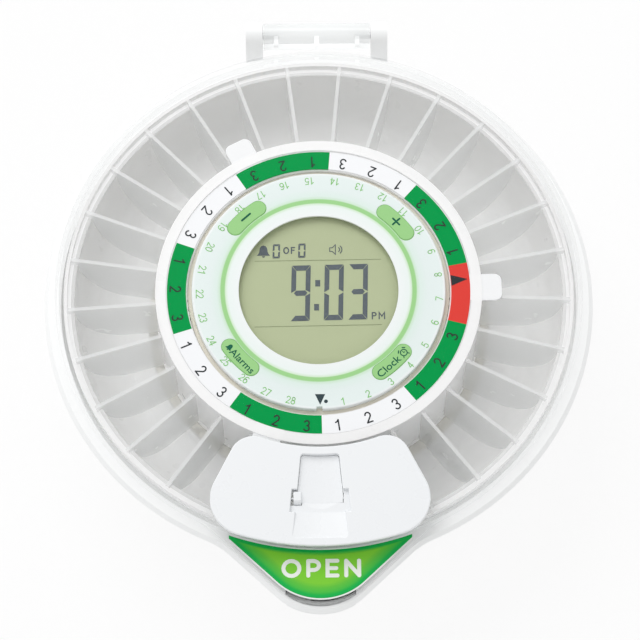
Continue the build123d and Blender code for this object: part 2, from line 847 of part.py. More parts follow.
# Motor screws
with BuildPart() as motor_screws:
    with BuildSketch(Plane.XY.offset(well_ceiling_z - motor_ear_thickness)):
        with Locations(*motor_screw_points):
            Circle(screw_head_radius)
    extrude(amount=-screw_head_height)
    with BuildSketch(Plane.XY.offset(well_ceiling_z - motor_ear_thickness)):
        with Locations(*motor_screw_points):
            Circle(screw_radius)
    extrude(amount=short_screw_length)
save(motor_screws, "motor_screws")

# Output shaft of the motor
with BuildPart() as output_shaft:
    with BuildSketch(Plane.XY.offset(shaft_bottom_z + seat_gap)):
        with Locations((0, pinion_y)):
            Circle(shaft_radius)
    extrude(amount=pinion_z + pinion_height - shaft_bottom_z)
save(output_shaft, "output_shaft")

# Pinion
pinion_outline = gear_outline(pinion_teeth, pinion_y, pinion_tip_radius, pinion_root_radius, -backlash)
with BuildPart() as pinion:
    with BuildSketch(Plane.XY.offset(pinion_z)):
        add(pinion_outline)
        with Locations((0, pinion_y)):
            Circle(shaft_radius + fixed_gap, mode=Mode.SUBTRACT)
    extrude(amount=pinion_height)
save(pinion, "pinion")

# Drive ring: internal gear with a flange below the tray and slots for the tray's keys
ring_hole = gear_outline(ring_teeth, 0, ring_space_radius, ring_tip_radius, 0)
with BuildPart() as drive_ring:
    with BuildSketch(Plane.XY.offset(drive_ring_z)):
        Circle(drive_ring_radius)
    extrude(amount=drive_ring_height)
    with BuildSketch(Plane.XY.offset(drive_ring_z)):
        Circle(drive_flange_radius)
    extrude(amount=tray_bottom_z - drive_ring_z)
    with BuildSketch(Plane.XY.offset(drive_ring_z)):
        add(ring_hole)
    extrude(amount=drive_ring_height, mode=Mode.SUBTRACT)
    with BuildSketch(Plane.XY.offset(tray_bottom_z)):
        with PolarLocations(drive_ring_radius, key_count):
            Rectangle(2 * key_depth, key_width + 2 * side_gap)
    extrude(amount=drive_ring_height, mode=Mode.SUBTRACT)
save(drive_ring, "drive_ring")

# Tray: one round moulding with an inner wall, a curved outer wall, a stepped rim and a collar
with BuildPart() as tray:
    with BuildSketch(Plane.XZ):
        with Locations((curve_centre_r, ledge_z)):
            Ellipse(tray_curve_width + tray_wall, tray_curve_height + tray_wall)
            Ellipse(tray_curve_width, tray_curve_height, mode=Mode.SUBTRACT)
            Rectangle(
                tray_curve_width + tray_wall,
                tray_curve_height + tray_wall,
                align=(Align.MIN, Align.MAX),
                mode=Mode.INTERSECT,
            )
        with Locations((tray_skirt_radius, tray_bottom_z)):
            Rectangle(curve_centre_r - tray_skirt_radius, tray_wall, align=Align.MIN)
            Rectangle(tray_wall, tray_rim_top_z - tray_bottom_z, align=Align.MIN)
        ledge_start_r = curve_centre_r + tray_curve_width
        with Locations((ledge_start_r, ledge_z)):
            Rectangle(tray_radius - ledge_start_r, tray_wall, align=(Align.MIN, Align.MAX))
        with Locations((tray_rim_inner_radius, ledge_z - tray_wall)):
            Rectangle(tray_radius - tray_rim_inner_radius, tray_top_z - ledge_z + tray_wall, align=Align.MIN)
        with Locations((collar_inner_radius, collar_bottom_z)):
            Rectangle(tray_skirt_radius - collar_inner_radius, collar_thickness, align=Align.MIN)
        with Locations((collar_recess_radius, collar_bottom_z)):
            Rectangle(
                tray_skirt_radius - collar_recess_radius,
                tray_rim_top_z - collar_bottom_z,
                align=Align.MIN,
            )
    revolve(axis=Axis.Z)
    with BuildSketch(Plane.XY.offset(tray_bottom_z)):
        with PolarLocations(tray_skirt_radius, key_count):
            Rectangle(2 * (key_depth - side_gap), key_width)
        Circle(tray_skirt_radius + tray_wall / 2, mode=Mode.INTERSECT)
    extrude(amount=collar_bottom_z - tray_bottom_z)
    slot_length = tray_inner_radius - collar_recess_radius + overrun
    for tab_angle_deg in dosage_tab_angles_deg:
        slot_x, slot_y = polar_point(collar_recess_radius + slot_length / 2 - side_gap, tab_angle_deg)
        slot_z = collar_top_z - plate_fit
        with Locations(Location((slot_x, slot_y, slot_z), (0, 0, from_x_deg(tab_angle_deg)))):
            Box(
                slot_length,
                dosage_tab_width + 2 * side_gap,
                dosage_thickness + 2 * plate_fit,
                align=(Align.CENTER, Align.CENTER, Align.MIN),
                mode=Mode.SUBTRACT,
            )
save(tray, "tray")

# Tray dividers: upright plates between the walls of the tray
with BuildPart() as tray_dividers:
    for index in range(compartments):
        with BuildSketch(upright_plane(tray_turn_deg + index * pitch_angle_deg)):
            with Locations((curve_centre_r, ledge_z)):
                Ellipse(tray_curve_width - plate_fit, tray_curve_height - plate_fit)
                Rectangle(
                    tray_curve_width,
                    tray_curve_height,
                    align=(Align.MIN, Align.MAX),
                    mode=Mode.INTERSECT,
                )
            inner_r = tray_inner_radius + plate_fit
            with Locations((inner_r, tray_floor_z + plate_fit)):
                Rectangle(curve_centre_r - inner_r, tray_depth - plate_fit, align=Align.MIN)
            with Locations((curve_centre_r, ledge_z)):
                Rectangle(tray_curve_width - plate_fit, tray_top_z - ledge_z, align=Align.MIN)
            with Locations((curve_centre_r, ledge_z + plate_fit)):
                Rectangle(
                    tray_rim_inner_radius - plate_fit - curve_centre_r,
                    tray_top_z - ledge_z - plate_fit,
                    align=Align.MIN,
                )
        extrude(amount=divider_thickness / 2, both=True)
save(tray_dividers, "tray_dividers")

# Dosage ring: printed annulus on the collar, with three tabs over the compartments
with BuildPart() as dosage_ring:
    tab_length = dosage_tab_reach - collar_inner_radius
    with BuildSketch(Plane.XY.offset(collar_top_z)):
        Circle(collar_recess_radius - side_gap)
        for tab_angle_deg in dosage_tab_angles_deg:
            tab_point = polar_point(dosage_tab_reach - tab_length / 2, tab_angle_deg)
            with Locations(Location(tab_point, from_x_deg(tab_angle_deg))):
                RectangleRounded(tab_length, dosage_tab_width, dosage_tab_round)
        Circle(collar_inner_radius + dosage_margin, mode=Mode.SUBTRACT)
    extrude(amount=dosage_thickness)
save(dosage_ring, "dosage_ring")

# Control column: round housing with bosses for the board and for its own screws
with BuildPart() as control_column:
    with BuildSketch(Plane.XY.offset(well_floor_z)):
        Circle(column_radius)
        Circle(column_radius - column_wall, mode=Mode.SUBTRACT)
    extrude(amount=panel_z - well_floor_z)
    with BuildSketch(Plane.XY.offset(well_floor_z)):
        with Locations(*column_boss_points):
            Circle(column_boss_radius)
            Rectangle(2 * (column_radius - column_boss_place_radius), column_wall)
        Circle(column_radius - column_wall / 2, mode=Mode.INTERSECT)
    extrude(amount=board_z - well_floor_z)
    for end_z, direction in ((well_floor_z, 1), (board_z, -1)):
        with BuildSketch(Plane.XY.offset(end_z)):
            with Locations(*column_boss_points):
                Circle(screw_radius + running_gap)
        extrude(amount=direction * screw_length, mode=Mode.SUBTRACT)
    # window through which the pinion meets the drive ring
    with Locations((0, pinion_y, well_floor_z)):
        Box(
            2 * column_window_half_width,
            2 * (column_radius - pinion_y + overrun),
            column_window_height,
            align=(Align.CENTER, Align.CENTER, Align.MIN),
            mode=Mode.SUBTRACT,
        )
save(control_column, "control_column")

# Column screws, from below through the well's floor
with BuildPart() as column_screws:
    with BuildSketch(Plane.XY.offset(well_ceiling_z)):
        with Locations(*column_boss_points):
            Circle(screw_head_radius)
    extrude(amount=-screw_head_height)
    with BuildSketch(Plane.XY.offset(well_ceiling_z)):
        with Locations(*column_boss_points):
            Circle(screw_radius)
    extrude(amount=screw_length)
save(column_screws, "column_screws")

# Main board on the column's bosses
with BuildPart() as main_board:
    with BuildSketch(Plane.XY.offset(board_z)):
        Circle(column_radius - column_wall - board_margin)
        with Locations(*column_boss_points):
            Circle(screw_radius + running_gap, mode=Mode.SUBTRACT)
    extrude(amount=board_thickness)
save(main_board, "main_board")

# Board screws
with BuildPart() as board_screws:
    with BuildSketch(Plane.XY.offset(board_top_z)):
        with Locations(*column_boss_points):
            Circle(screw_head_radius)
    extrude(amount=screw_head_height)
    with BuildSketch(Plane.XY.offset(board_top_z)):
        with Locations(*column_boss_points):
            Circle(screw_radius)
    extrude(amount=-screw_length)
save(board_screws, "board_screws")

# Buzzer under the board
with BuildPart() as buzzer:
    with BuildSketch(Plane.XY.offset(board_z)):
        with Locations((-buzzer_offset, -buzzer_offset)):
            Circle(buzzer_radius)
    extrude(amount=-buzzer_height)
    with BuildSketch(Plane.XY.offset(board_z - buzzer_height)):
        with Locations((-buzzer_offset, -buzzer_offset)):
            Circle(buzzer_hole_radius)
    extrude(amount=buzzer_hole_depth, mode=Mode.SUBTRACT)
save(buzzer, "buzzer")

# Switches on the board, one under each button
with BuildPart() as button_switches:
    with BuildSketch(Plane.XY.offset(board_top_z)):
        with Locations(*[Location(point, first_button_deg + dial_turn_deg) for point in button_points]):
            Rectangle(switch_size, switch_size)
    extrude(amount=switch_height)
    with BuildSketch(Plane.XY.offset(board_top_z + switch_height)):
        with Locations(*button_points):
            Circle(switch_plunger_radius)
    extrude(amount=switch_plunger_height)
save(button_switches, "button_switches")

# Display: round cell on a holder ring
with BuildPart() as display_holder:
    with BuildSketch(Plane.XY.offset(board_top_z)):
        Circle(display_radius)
        Circle(display_radius - display_holder_wall, mode=Mode.SUBTRACT)
    extrude(amount=display_top_z - display_thickness - board_top_z)
save(display_holder, "display_holder")

with BuildPart() as display:
    with BuildSketch(Plane.XY.offset(display_top_z)):
        Circle(display_radius)
    extrude(amount=-display_thickness)
save(display, "display")

# Control panel: disc with the display window, four button holes, snaps and the pointer notch
with BuildPart() as control_panel:
    with BuildSketch(Plane.XY.offset(panel_z)):
        Circle(panel_radius)
    extrude(amount=panel_thickness)
    fillet(faces().sort_by(Axis.Z)[-1].edges(), panel_edge_round)
    with BuildSketch(Plane.XY.offset(panel_z)):
        Circle(window_radius)
        with Locations((0, -panel_radius)):
            Rectangle(panel_notch_width, 2 * panel_notch_depth)
        for index in range(len(button_names)):
            add(button_outline(index, button_width + 2 * button_gap))
    extrude(amount=panel_thickness, mode=Mode.SUBTRACT)
    with BuildSketch(Plane.XY.offset(panel_z)):
        Circle(window_radius + window_lip_width)
    extrude(amount=panel_thickness - window_lip, mode=Mode.SUBTRACT)
    snap_radius = column_radius - column_wall - side_gap
    with BuildSketch(Plane.XY.offset(panel_z)):
        with PolarLocations(snap_radius, 4):
            Rectangle(4 * snap_thickness, snap_width)
        Circle(snap_radius, mode=Mode.INTERSECT)
        Circle(snap_radius - snap_thickness, mode=Mode.SUBTRACT)
    extrude(amount=-snap_depth)
save(control_panel, "control_panel")

# Display lens under the window's lip
with BuildPart() as display_lens:
    with BuildSketch(Plane.XY.offset(panel_top_z - window_lip)):
        Circle(window_radius + window_lip_width - side_gap)
    extrude(amount=-lens_thickness)
save(display_lens, "display_lens")

# Buttons: curved caps with a flange below the panel and a stem over the switch
for index, name in enumerate(button_names):
    with BuildPart() as button:
        with BuildSketch(Plane.XY.offset(flange_z)):
            add(button_outline(index, button_width))
        extrude(amount=panel_top_z + button_proud - flange_z)
        fillet(faces().sort_by(Axis.Z)[-1].edges(), button_edge_round)
        with BuildSketch(Plane.XY.offset(flange_z)):
            add(button_outline(index, button_width + 2 * button_flange))
        extrude(amount=button_flange_thickness)
        with BuildSketch(Plane.XY.offset(flange_z)):
            with Locations(button_points[index]):
                Circle(button_stem_radius)
        extrude(amount=stem_z - flange_z)
    save(button, name)

# Lid: flat clear cap with a wall, a nose flange with the lock's hook, and the hinge arm
flange_outline = lid_outline(0)
with BuildPart() as lid:
    with BuildSketch(Plane.XY.offset(lid_bottom_z)):
        Circle(lid_radius)
    extrude(amount=lid_height)
    fillet(faces().sort_by(Axis.Z)[-1].edges(), lid_edge_round)
    with BuildSketch(Plane.XY.offset(lid_bottom_z)):
        add(flange_outline)
    extrude(amount=nose_flange_thickness)
    # hinge arm with three ribs
    arm_z = lid_bottom_z + seat_gap
    arm_length = hinge_y - lid_radius + hinge_arm_overlap
    with BuildSketch(Plane.XY.offset(arm_z)):
        with Locations((0, hinge_y)):
            Rectangle(2 * hinge_bar_half_length, arm_length, align=(Align.CENTER, Align.MAX))
    extrude(amount=hinge_arm_thickness)
    with BuildSketch(Plane.XY.offset(arm_z + hinge_arm_thickness)):
        with Locations((0, hinge_y - arm_length / 2)):
            with GridLocations(hinge_rib_spacing, 0, 3, 1):
                Rectangle(hinge_rib_thickness, arm_length)
    extrude(amount=hinge_rib_height)
    with BuildSketch(Plane.XY.offset(lid_bottom_z)):
        Circle(lid_radius - lid_wall)
    extrude(amount=lid_height - lid_wall, mode=Mode.SUBTRACT)
    with BuildSketch(Plane.YZ.offset(-hinge_bar_half_length)):
        with Locations((hinge_y, hinge_z)):
            Circle(hinge_barrel_radius - side_gap)
    extrude(amount=2 * hinge_bar_half_length)
    for side in (-1, 1):
        with BuildSketch(Plane.YZ.offset(side * hinge_bar_half_length)):
            with Locations((hinge_y, hinge_z)):
                Circle(hinge_pin_radius + running_gap)
        extrude(amount=-side * (hinge_pin_grip + side_gap), mode=Mode.SUBTRACT)
    # opening for the hatch frame
    with Locations((0, -(hatch_collar_outer_y + hatch_collar_inner_y) / 2, lid_top_z)):
        Box(
            2 * (hatch_collar_half_width + side_gap),
            hatch_collar_outer_y - hatch_collar_inner_y + 2 * side_gap,
            4 * lid_wall,
            mode=Mode.SUBTRACT,
        )
    # hook with a window for the lock's bolt
    with Locations((hook_x, -hook_outer_y, lid_bottom_z)):
        Box(hook_thickness, hook_length, hook_drop, align=(Align.MIN, Align.MIN, Align.MAX))
    window_y = -hook_outer_y + (hook_length - hook_window_length) / 2
    with Locations((hook_x, window_y, lid_bottom_z - hook_drop + hook_window_margin)):
        Box(
            4 * hook_thickness,
            hook_window_length,
            hook_window_height,
            align=(Align.CENTER, Align.MIN, Align.MIN),
            mode=Mode.SUBTRACT,
        )
save(lid, "lid")

# Label on the nose flange
label_outline = lid_outline(label_margin)
with BuildPart() as open_label:
    with BuildSketch(Plane.XY.offset(lid_bottom_z + nose_flange_thickness)):
        add(label_outline)
        Circle(lid_radius + side_gap, mode=Mode.SUBTRACT)
        with Locations((0, -lid_radius)):
            Rectangle(2 * label_half_length, lid_radius, mode=Mode.INTERSECT)
    extrude(amount=label_thickness)
save(open_label, "open_label")

# Hinge pins: two steel pins through the ears into the bar
with BuildPart() as hinge_pins:
    for side in (-1, 1):
        with BuildSketch(Plane.YZ.offset(side * ear_outer_x)):
            with Locations((hinge_y, hinge_z)):
                Circle(hinge_pin_radius)
        extrude(amount=-side * (hinge_ear_thickness + side_gap + hinge_pin_grip))
save(hinge_pins, "hinge_pins")

# Hatch frame: white sector plate on the lid with a collar through it, the flap's opening, a hollow ramp
# in front of the flap, a pocket at each end of the flap's pin and a notch for the flap's ear
ramp_rise = flap_recess - ramp_end_depth
ramp_length = sqrt(ramp_rise**2 + (channel_outer_y - flap_pivot_y) ** 2)
ramp_plane = Plane(
    origin=(0, -flap_pivot_y, flap_top_z),
    x_dir=(1, 0, 0),
    z_dir=(0, flap_pivot_y - channel_outer_y, ramp_rise),
)
with BuildPart() as ramp_cut:
    with BuildSketch(ramp_plane):
        with Locations((0, flap_dish_radius - flap_dish_depth)):
            Circle(flap_dish_radius)
    extrude(amount=ramp_length + overrun)
    with BuildSketch(Plane.XY.offset(flap_top_z - flap_dish_depth)):
        add(channel_outline(0, channel_outer_y))
        fillet(vertices().sort_by(Axis.Y)[:2], channel_round)
    extrude(amount=flap_recess + flap_dish_depth + overrun, mode=Mode.INTERSECT)

with BuildPart() as hatch_frame:
    with BuildSketch(Plane.XY.offset(lid_top_z)):
        with BuildLine():
            start_deg = from_x_deg(-hatch_half_angle_deg)
            inner = CenterArc((0, 0), hatch_inner_radius, start_deg, 2 * hatch_half_angle_deg)
            outer = CenterArc((0, 0), hatch_outer_radius, start_deg, 2 * hatch_half_angle_deg)
            Line(inner @ 0, outer @ 0)
            Line(inner @ 1, outer @ 1)
        make_face()
        fillet(vertices().sort_by(Axis.Y)[-2:], hatch_inner_round)
        fillet(vertices().sort_by(Axis.Y)[:2], hatch_outer_round)
    extrude(amount=hatch_plate_thickness)
    fillet(faces().sort_by(Axis.Z)[-1].edges(), hatch_edge_round)
    collar_length = hatch_collar_outer_y - hatch_collar_inner_y
    with BuildSketch(Plane.XY.offset(lid_top_z)):
        with Locations((0, -hatch_collar_inner_y - collar_length / 2)):
            Rectangle(2 * hatch_collar_half_width, collar_length)
    extrude(amount=-hatch_collar_depth)
    with BuildSketch(Plane.XY.offset(plate_top_z)):
        add(channel_outline(0, flap_pivot_y))
        with BuildSketch(mode=Mode.PRIVATE) as notch:
            add(band_outline(notch_depth, notch_inner_y, notch_outer_y))
            with Locations((-flap_ear_inner_x + side_gap, -flap_pivot_y)):
                Rectangle(
                    hatch_collar_half_width,
                    hatch_collar_half_width,
                    align=(Align.MAX, Align.CENTER),
                    mode=Mode.INTERSECT,
                )
        add(notch.sketch)
    extrude(amount=-(hatch_plate_thickness + hatch_collar_depth), mode=Mode.SUBTRACT)
    with BuildSketch(Plane.XY.offset(plate_top_z)):
        add(band_outline(notch_depth, notch_inner_y, notch_inner_y + pocket_length))
    extrude(amount=-flap_recess, mode=Mode.SUBTRACT)
    add(ramp_cut.part, mode=Mode.SUBTRACT)
    top_face = faces().sort_by(Axis.Z)[-1]
    fillet(top_face.inner_wires()[0].edges(), channel_edge_round)
    with BuildSketch(Plane.YZ.offset(-pivot_half_width)):
        with Locations((-flap_pivot_y, flap_pivot_z)):
            Circle(flap_barrel_radius + flap_gap)
    extrude(amount=2 * pivot_half_width, mode=Mode.SUBTRACT)
    with BuildSketch(Plane.YZ.offset(-hatch_collar_half_width)):
        with Locations((-flap_pivot_y, flap_pivot_z)):
            Circle(flap_pin_radius + fixed_gap)
    extrude(amount=2 * hatch_collar_half_width, mode=Mode.SUBTRACT)
save(hatch_frame, "hatch_frame")

# Dispensing flap: hollow tongue on a barrel with an ear at its left end
barrel_right_x = channel_half_width(flap_pivot_y - flap_barrel_radius) - flap_gap
with BuildPart() as dispensing_flap:
    with BuildSketch(Plane.XY.offset(flap_top_z)):
        add(channel_outline(flap_gap, flap_pivot_y))
    extrude(amount=-flap_thickness)
    with BuildSketch(Plane.YZ.offset(-flap_ear_inner_x)):
        with Locations((-flap_pivot_y, flap_pivot_z)):
            Circle(flap_barrel_radius)
        with Locations((-flap_pivot_y, flap_top_z)):
            Rectangle(
                2 * flap_barrel_radius,
                2 * flap_barrel_radius,
                align=(Align.CENTER, Align.MAX),
                mode=Mode.INTERSECT,
            )
    extrude(amount=flap_ear_inner_x + barrel_right_x)
    with Locations((0, -flap_pivot_y, flap_top_z + flap_dish_radius - flap_dish_depth)):
        Cylinder(flap_dish_radius, 2 * flap_pivot_y, rotation=(90, 0, 0), mode=Mode.SUBTRACT)
    with BuildSketch(Plane.YZ.offset(-flap_ear_outer_x)):
        with Locations((-flap_pivot_y, flap_pivot_z)):
            Circle(flap_ear_radius)
            Rectangle(2 * flap_ear_radius, 2 * flap_ear_half_height, mode=Mode.INTERSECT)
    extrude(amount=flap_ear_width)
    with BuildSketch(Plane.YZ.offset(-flap_ear_outer_x)):
        with Locations((-flap_pivot_y, flap_pivot_z)):
            Circle(flap_pin_radius + running_gap)
    extrude(amount=flap_ear_outer_x + pivot_half_width, mode=Mode.SUBTRACT)
save(dispensing_flap, "dispensing_flap")

# Flap pin through the collar
with BuildPart() as flap_pin:
    flap_pin_half_length = hatch_collar_half_width - slide_gap
    with BuildSketch(Plane.YZ.offset(-flap_pin_half_length)):
        with Locations((-flap_pivot_y, flap_pivot_z)):
            Circle(flap_pin_radius)
    extrude(amount=2 * flap_pin_half_length)
save(flap_pin, "flap_pin")

# Lock slider: block with a bolt for the hook's window and a tongue in the recess's groove
slider_solid = base_body(recess_front_wall + side_gap)
slider_back_y = -recess_inner_y - slide_gap
with BuildPart() as lock_slider:
    add(slider_solid)
    with Locations((-slider_left_x, slider_back_y, slider_z)):
        Box(
            slider_length,
            recess_length,
            slider_height,
            align=(Align.MIN, Align.MAX, Align.MIN),
            mode=Mode.INTERSECT,
        )
    with Locations((-slider_left_x, slider_back_y, slider_z + slider_tongue_lift)):
        Box(slider_length, slider_tongue_depth + slide_gap, slider_tongue_height, align=Align.MIN)
    bolt_y = -hook_outer_y + hook_length / 2
    bolt_z = lid_bottom_z - hook_drop + hook_window_margin + hook_window_height / 2
    with Locations((slider_right_x, bolt_y, bolt_z)):
        Box(bolt_length, bolt_width, bolt_height, align=(Align.MIN, Align.CENTER, Align.CENTER))
    with Locations((slider_length / 2 - slider_left_x, slider_back_y, slider_top_z)):
        with GridLocations(slider_grip_pitch, 0, slider_grip_count, 1):
            Box(slider_grip_width, 2 * recess_length, 2 * slider_grip_depth, mode=Mode.SUBTRACT)
save(lock_slider, "lock_slider")
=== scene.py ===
from math import acos, cos, pi, radians, sin, tan

import bpy
import numpy as np
from mathutils import Matrix


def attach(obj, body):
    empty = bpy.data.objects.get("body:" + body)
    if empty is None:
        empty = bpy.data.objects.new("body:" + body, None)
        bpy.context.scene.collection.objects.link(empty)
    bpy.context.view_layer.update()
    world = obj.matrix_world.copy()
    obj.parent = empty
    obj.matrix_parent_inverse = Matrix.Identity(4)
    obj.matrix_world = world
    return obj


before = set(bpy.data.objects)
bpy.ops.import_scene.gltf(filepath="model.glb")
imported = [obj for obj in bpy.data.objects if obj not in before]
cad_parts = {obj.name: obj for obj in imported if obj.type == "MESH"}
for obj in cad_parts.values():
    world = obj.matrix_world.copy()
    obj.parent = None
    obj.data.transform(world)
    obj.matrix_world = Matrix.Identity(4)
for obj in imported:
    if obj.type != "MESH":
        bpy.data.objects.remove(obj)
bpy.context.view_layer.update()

# Base shell: an injection-moulded bowl of glossy white ABS, with a nose in front and two hinge ears behind.
# Its outside is polished in the mould, so the eye sees a soft broad highlight and hardly any grain.
mm = 0.001


def linear(code):
    """Linear RGBA of an sRGB colour written as six hex digits."""
    shares = np.array([int(code[i:i + 2], 16) for i in (0, 2, 4)]) / 255
    return (*np.where(shares <= 0.04045, shares / 12.92, ((shares + 0.055) / 1.055) ** 2.4), 1.0)


def add_node(tree, kind, settings=None, **inputs):
    """Adds a shader node, sets its properties and its inputs. An input that is a socket is linked."""
    node = tree.nodes.new(kind)
    for name, value in (settings or {}).items():
        setattr(node, name, value)
    for name, value in inputs.items():
        place = int(name[1:]) if name[1:].isdigit() else name.replace("_", " ")
        if isinstance(value, bpy.types.NodeSocket):
            tree.links.new(value, node.inputs[place])
        else:
            node.inputs[place].default_value = value
    return node


def new_material(name):
    """An empty node material, its output node, and the object coordinates that its patterns use."""
    material = bpy.data.materials.new(name)
    material.use_nodes = True
    tree = material.node_tree
    tree.nodes.clear()
    output = add_node(tree, "ShaderNodeOutputMaterial")
    return material, output, add_node(tree, "ShaderNodeTexCoord").outputs["Object"]


def clouded(tree, place, colour, drift, size):
    """A colour that darkens by a small share in clouds of a size in metres."""
    cloud = add_node(tree, "ShaderNodeTexNoise", Vector=place, Scale=1 / size, Detail=2.0)
    darker = tuple(part * (1 - drift) for part in colour[:3]) + (1.0,)
    mix = add_node(tree, "ShaderNodeMix", {"data_type": "RGBA"}, _0=cloud.outputs[0], _6=darker, _7=colour)
    return mix.outputs[2]


patch_size = 9 * mm
cloud_size = 30 * mm


def worked(tree, place, roughness, spread, grain, depth, stretch=(1, 1, 1)):
    """Roughness that varies about a mean, and a bump of grains of a size and a depth in metres."""
    patches = add_node(tree, "ShaderNodeTexNoise", Vector=place, Scale=1 / patch_size, Detail=3.0)
    rough = add_node(
        tree, "ShaderNodeMapRange", Value=patches.outputs[0],
        To_Min=roughness - spread, To_Max=roughness + spread,
    )
    along = add_node(tree, "ShaderNodeMapping", Vector=place, Scale=stretch)
    noise = add_node(tree, "ShaderNodeTexNoise", Vector=along.outputs[0], Scale=1 / grain, Detail=2.0)
    bump = add_node(tree, "ShaderNodeBump", Strength=1.0, Distance=depth, Height=noise.outputs[0])
    return rough.outputs[0], bump.outputs[0]


def coat(tree, output, colour, rough, bump, ior=1.5, metallic=0.0, gloss=0.5):
    """The surface itself. The gloss is 0.5 for a bare surface and less for one under a clear one."""
    surface = add_node(
        tree, "ShaderNodeBsdfPrincipled", Base_Color=colour, Roughness=rough, Metallic=metallic, IOR=ior,
        Normal=bump, Specular_IOR_Level=gloss,
    )
    tree.links.new(surface.outputs[0], output.inputs["Surface"])


def solid_material(
    name, code, roughness, grain, depth, metallic=0.0, ior=1.5, drift=0.03, stretch=(1, 1, 1), gloss=0.5,
):
    """One moulded, pressed, cut or cast substance with its drift of colour, uneven gloss and grain."""
    material, output, place = new_material(name)
    tree = material.node_tree
    rough, bump = worked(tree, place, roughness, roughness / 6, grain, depth, stretch)
    colour = clouded(tree, place, linear(code), drift, cloud_size)
    coat(tree, output, colour, rough, bump, ior, metallic, gloss)
    return material


def dress(names, material):
    """Gives CAD nodes their material."""
    for name in names:
        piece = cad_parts[name]
        piece.data.materials.clear()
        piece.data.materials.append(material)


white_abs = solid_material(
    "abs_white_polished", "f9fafa", roughness=0.32, grain=0.6 * mm, depth=0.003 * mm, ior=1.53, drift=0.015,
)
dress(["base_shell"], white_abs)

# Bottom cover and battery door: the same ABS from a spark-eroded mould, which leaves a fine even matt grain.
# The cover is held by screws in the rim's bosses, and the door by one screw of its own.
cover_abs = solid_material(
    "abs_white_spark_texture", "ebecec", roughness=0.55, grain=0.45 * mm, depth=0.012 * mm, ior=1.53,
)
dress(["bottom_cover", "battery_cover"], cover_abs)

# Feet: five discs of soft grey rubber pressed into round seats, dull and slightly dusty.
# Four stand round the edge and one on the battery door.
rubber = solid_material(
    "rubber_moulded", "4a4b4c", roughness=0.82, grain=0.3 * mm, depth=0.012 * mm, ior=1.52, drift=0.12,
)
dress(["rubber_feet"], rubber)

# Screws: zinc-plated steel with a faint blue-grey passivation, tumbled, so the gloss is broken up.
zinc = solid_material(
    "steel_zinc_plated", "c3c6c9", roughness=0.33, grain=0.25 * mm, depth=0.006 * mm,
    metallic=1.0, drift=0.1,
)
screws = ["case_screws", "battery_cover_screw", "column_screws", "board_screws", "motor_screws"]
dress(screws, zinc)

# Battery box: black moulded polypropylene with four AA cells, whose shrunk sleeves are plain and satin.
# The contacts are nickel-plated spring steel, pressed and bright.
box_plastic = solid_material(
    "polypropylene_black", "2a2a2c", roughness=0.5, grain=0.5 * mm, depth=0.01 * mm, ior=1.49, drift=0.15,
)
dress(["battery_box"], box_plastic)
sleeve = solid_material(
    "pvc_sleeve_shrunk", "3a3f47", roughness=0.28, grain=3.0 * mm, depth=0.02 * mm, ior=1.53, drift=0.1,
)
dress(["battery_1", "battery_2", "battery_3", "battery_4"], sleeve)
nickel = solid_material(
    "steel_nickel_plated", "cfccc4", roughness=0.18, grain=0.5 * mm, depth=0.004 * mm,
    metallic=1.0, drift=0.08,
)
dress(["battery_contacts"], nickel)

# Drive: a zinc-plated motor can, a ground steel shaft, a hobbed brass pinion, and an acetal ring gear.
# Acetal is waxy and slightly yellow beside the white ABS. The ground shaft has fine rings round it.
motor_zinc = solid_material(
    "steel_can_drawn", "9ba0a6", roughness=0.36, grain=0.4 * mm, depth=0.006 * mm, metallic=1.0, drift=0.1,
)
dress(["gear_motor"], motor_zinc)
ground_steel = solid_material(
    "steel_ground", "c4c5c7", roughness=0.2, grain=0.3 * mm, depth=0.004 * mm,
    metallic=1.0, stretch=(0.1, 0.1, 4),
)
dress(["output_shaft", "hinge_pins", "flap_pin"], ground_steel)
brass = solid_material(
    "brass_hobbed", "d9b866", roughness=0.26, grain=0.3 * mm, depth=0.006 * mm,
    metallic=1.0, drift=0.08, stretch=(3, 3, 0.3),
)
dress(["pinion"], brass)
acetal = solid_material(
    "acetal_moulded", "efede2", roughness=0.42, grain=0.6 * mm, depth=0.006 * mm, ior=1.48,
)
dress(["drive_ring"], acetal)

# Column and display holder: warm-white mouldings under the panel, screwed to the base.
# A narrow lip on top of the column closes the gap round the panel and is seen as a thin beige line.
column_abs = solid_material(
    "abs_warm_moulded", "efe9da", roughness=0.6, grain=0.5 * mm, depth=0.01 * mm, ior=1.53,
)
dress(["control_column", "display_holder"], column_abs)

lip_steps = 240
lip_inner, lip_outer = 42.95, 45.05
lip_low, lip_high = 52.2, 53.0
lip_bevel = 0.1


def new_piece(name, points, faces, body, material):
    """A mesh of corners in mm and its faces, as a piece that rides on a body."""
    mesh = bpy.data.meshes.new(name)
    mesh.from_pydata(points * mm, [], faces)
    mesh.materials.append(material)
    piece = bpy.data.objects.new(name, mesh)
    bpy.context.scene.collection.objects.link(piece)
    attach(piece, body)
    return piece


def revolved(name, profile, body, material):
    """A closed profile of radius and height in mm, turned about the axis: at each angle a point lies at
    radius times cosine, radius times sine, and its height."""
    angle = np.linspace(0, 2 * pi, lip_steps, endpoint=False)[:, None]
    radius, height = np.array(profile, float).T
    rings = np.stack([radius * np.cos(angle), radius * np.sin(angle), height + 0 * angle], -1)
    grid = np.arange(lip_steps * len(profile)).reshape(lip_steps, len(profile))
    ahead, aside = np.roll(grid, -1, 0), np.roll(grid, -1, 1)
    faces = np.stack([grid, ahead, np.roll(ahead, -1, 1), aside], -1).reshape(-1, 4)
    new_piece(name, rings.reshape(-1, 3), faces.tolist(), body, material)


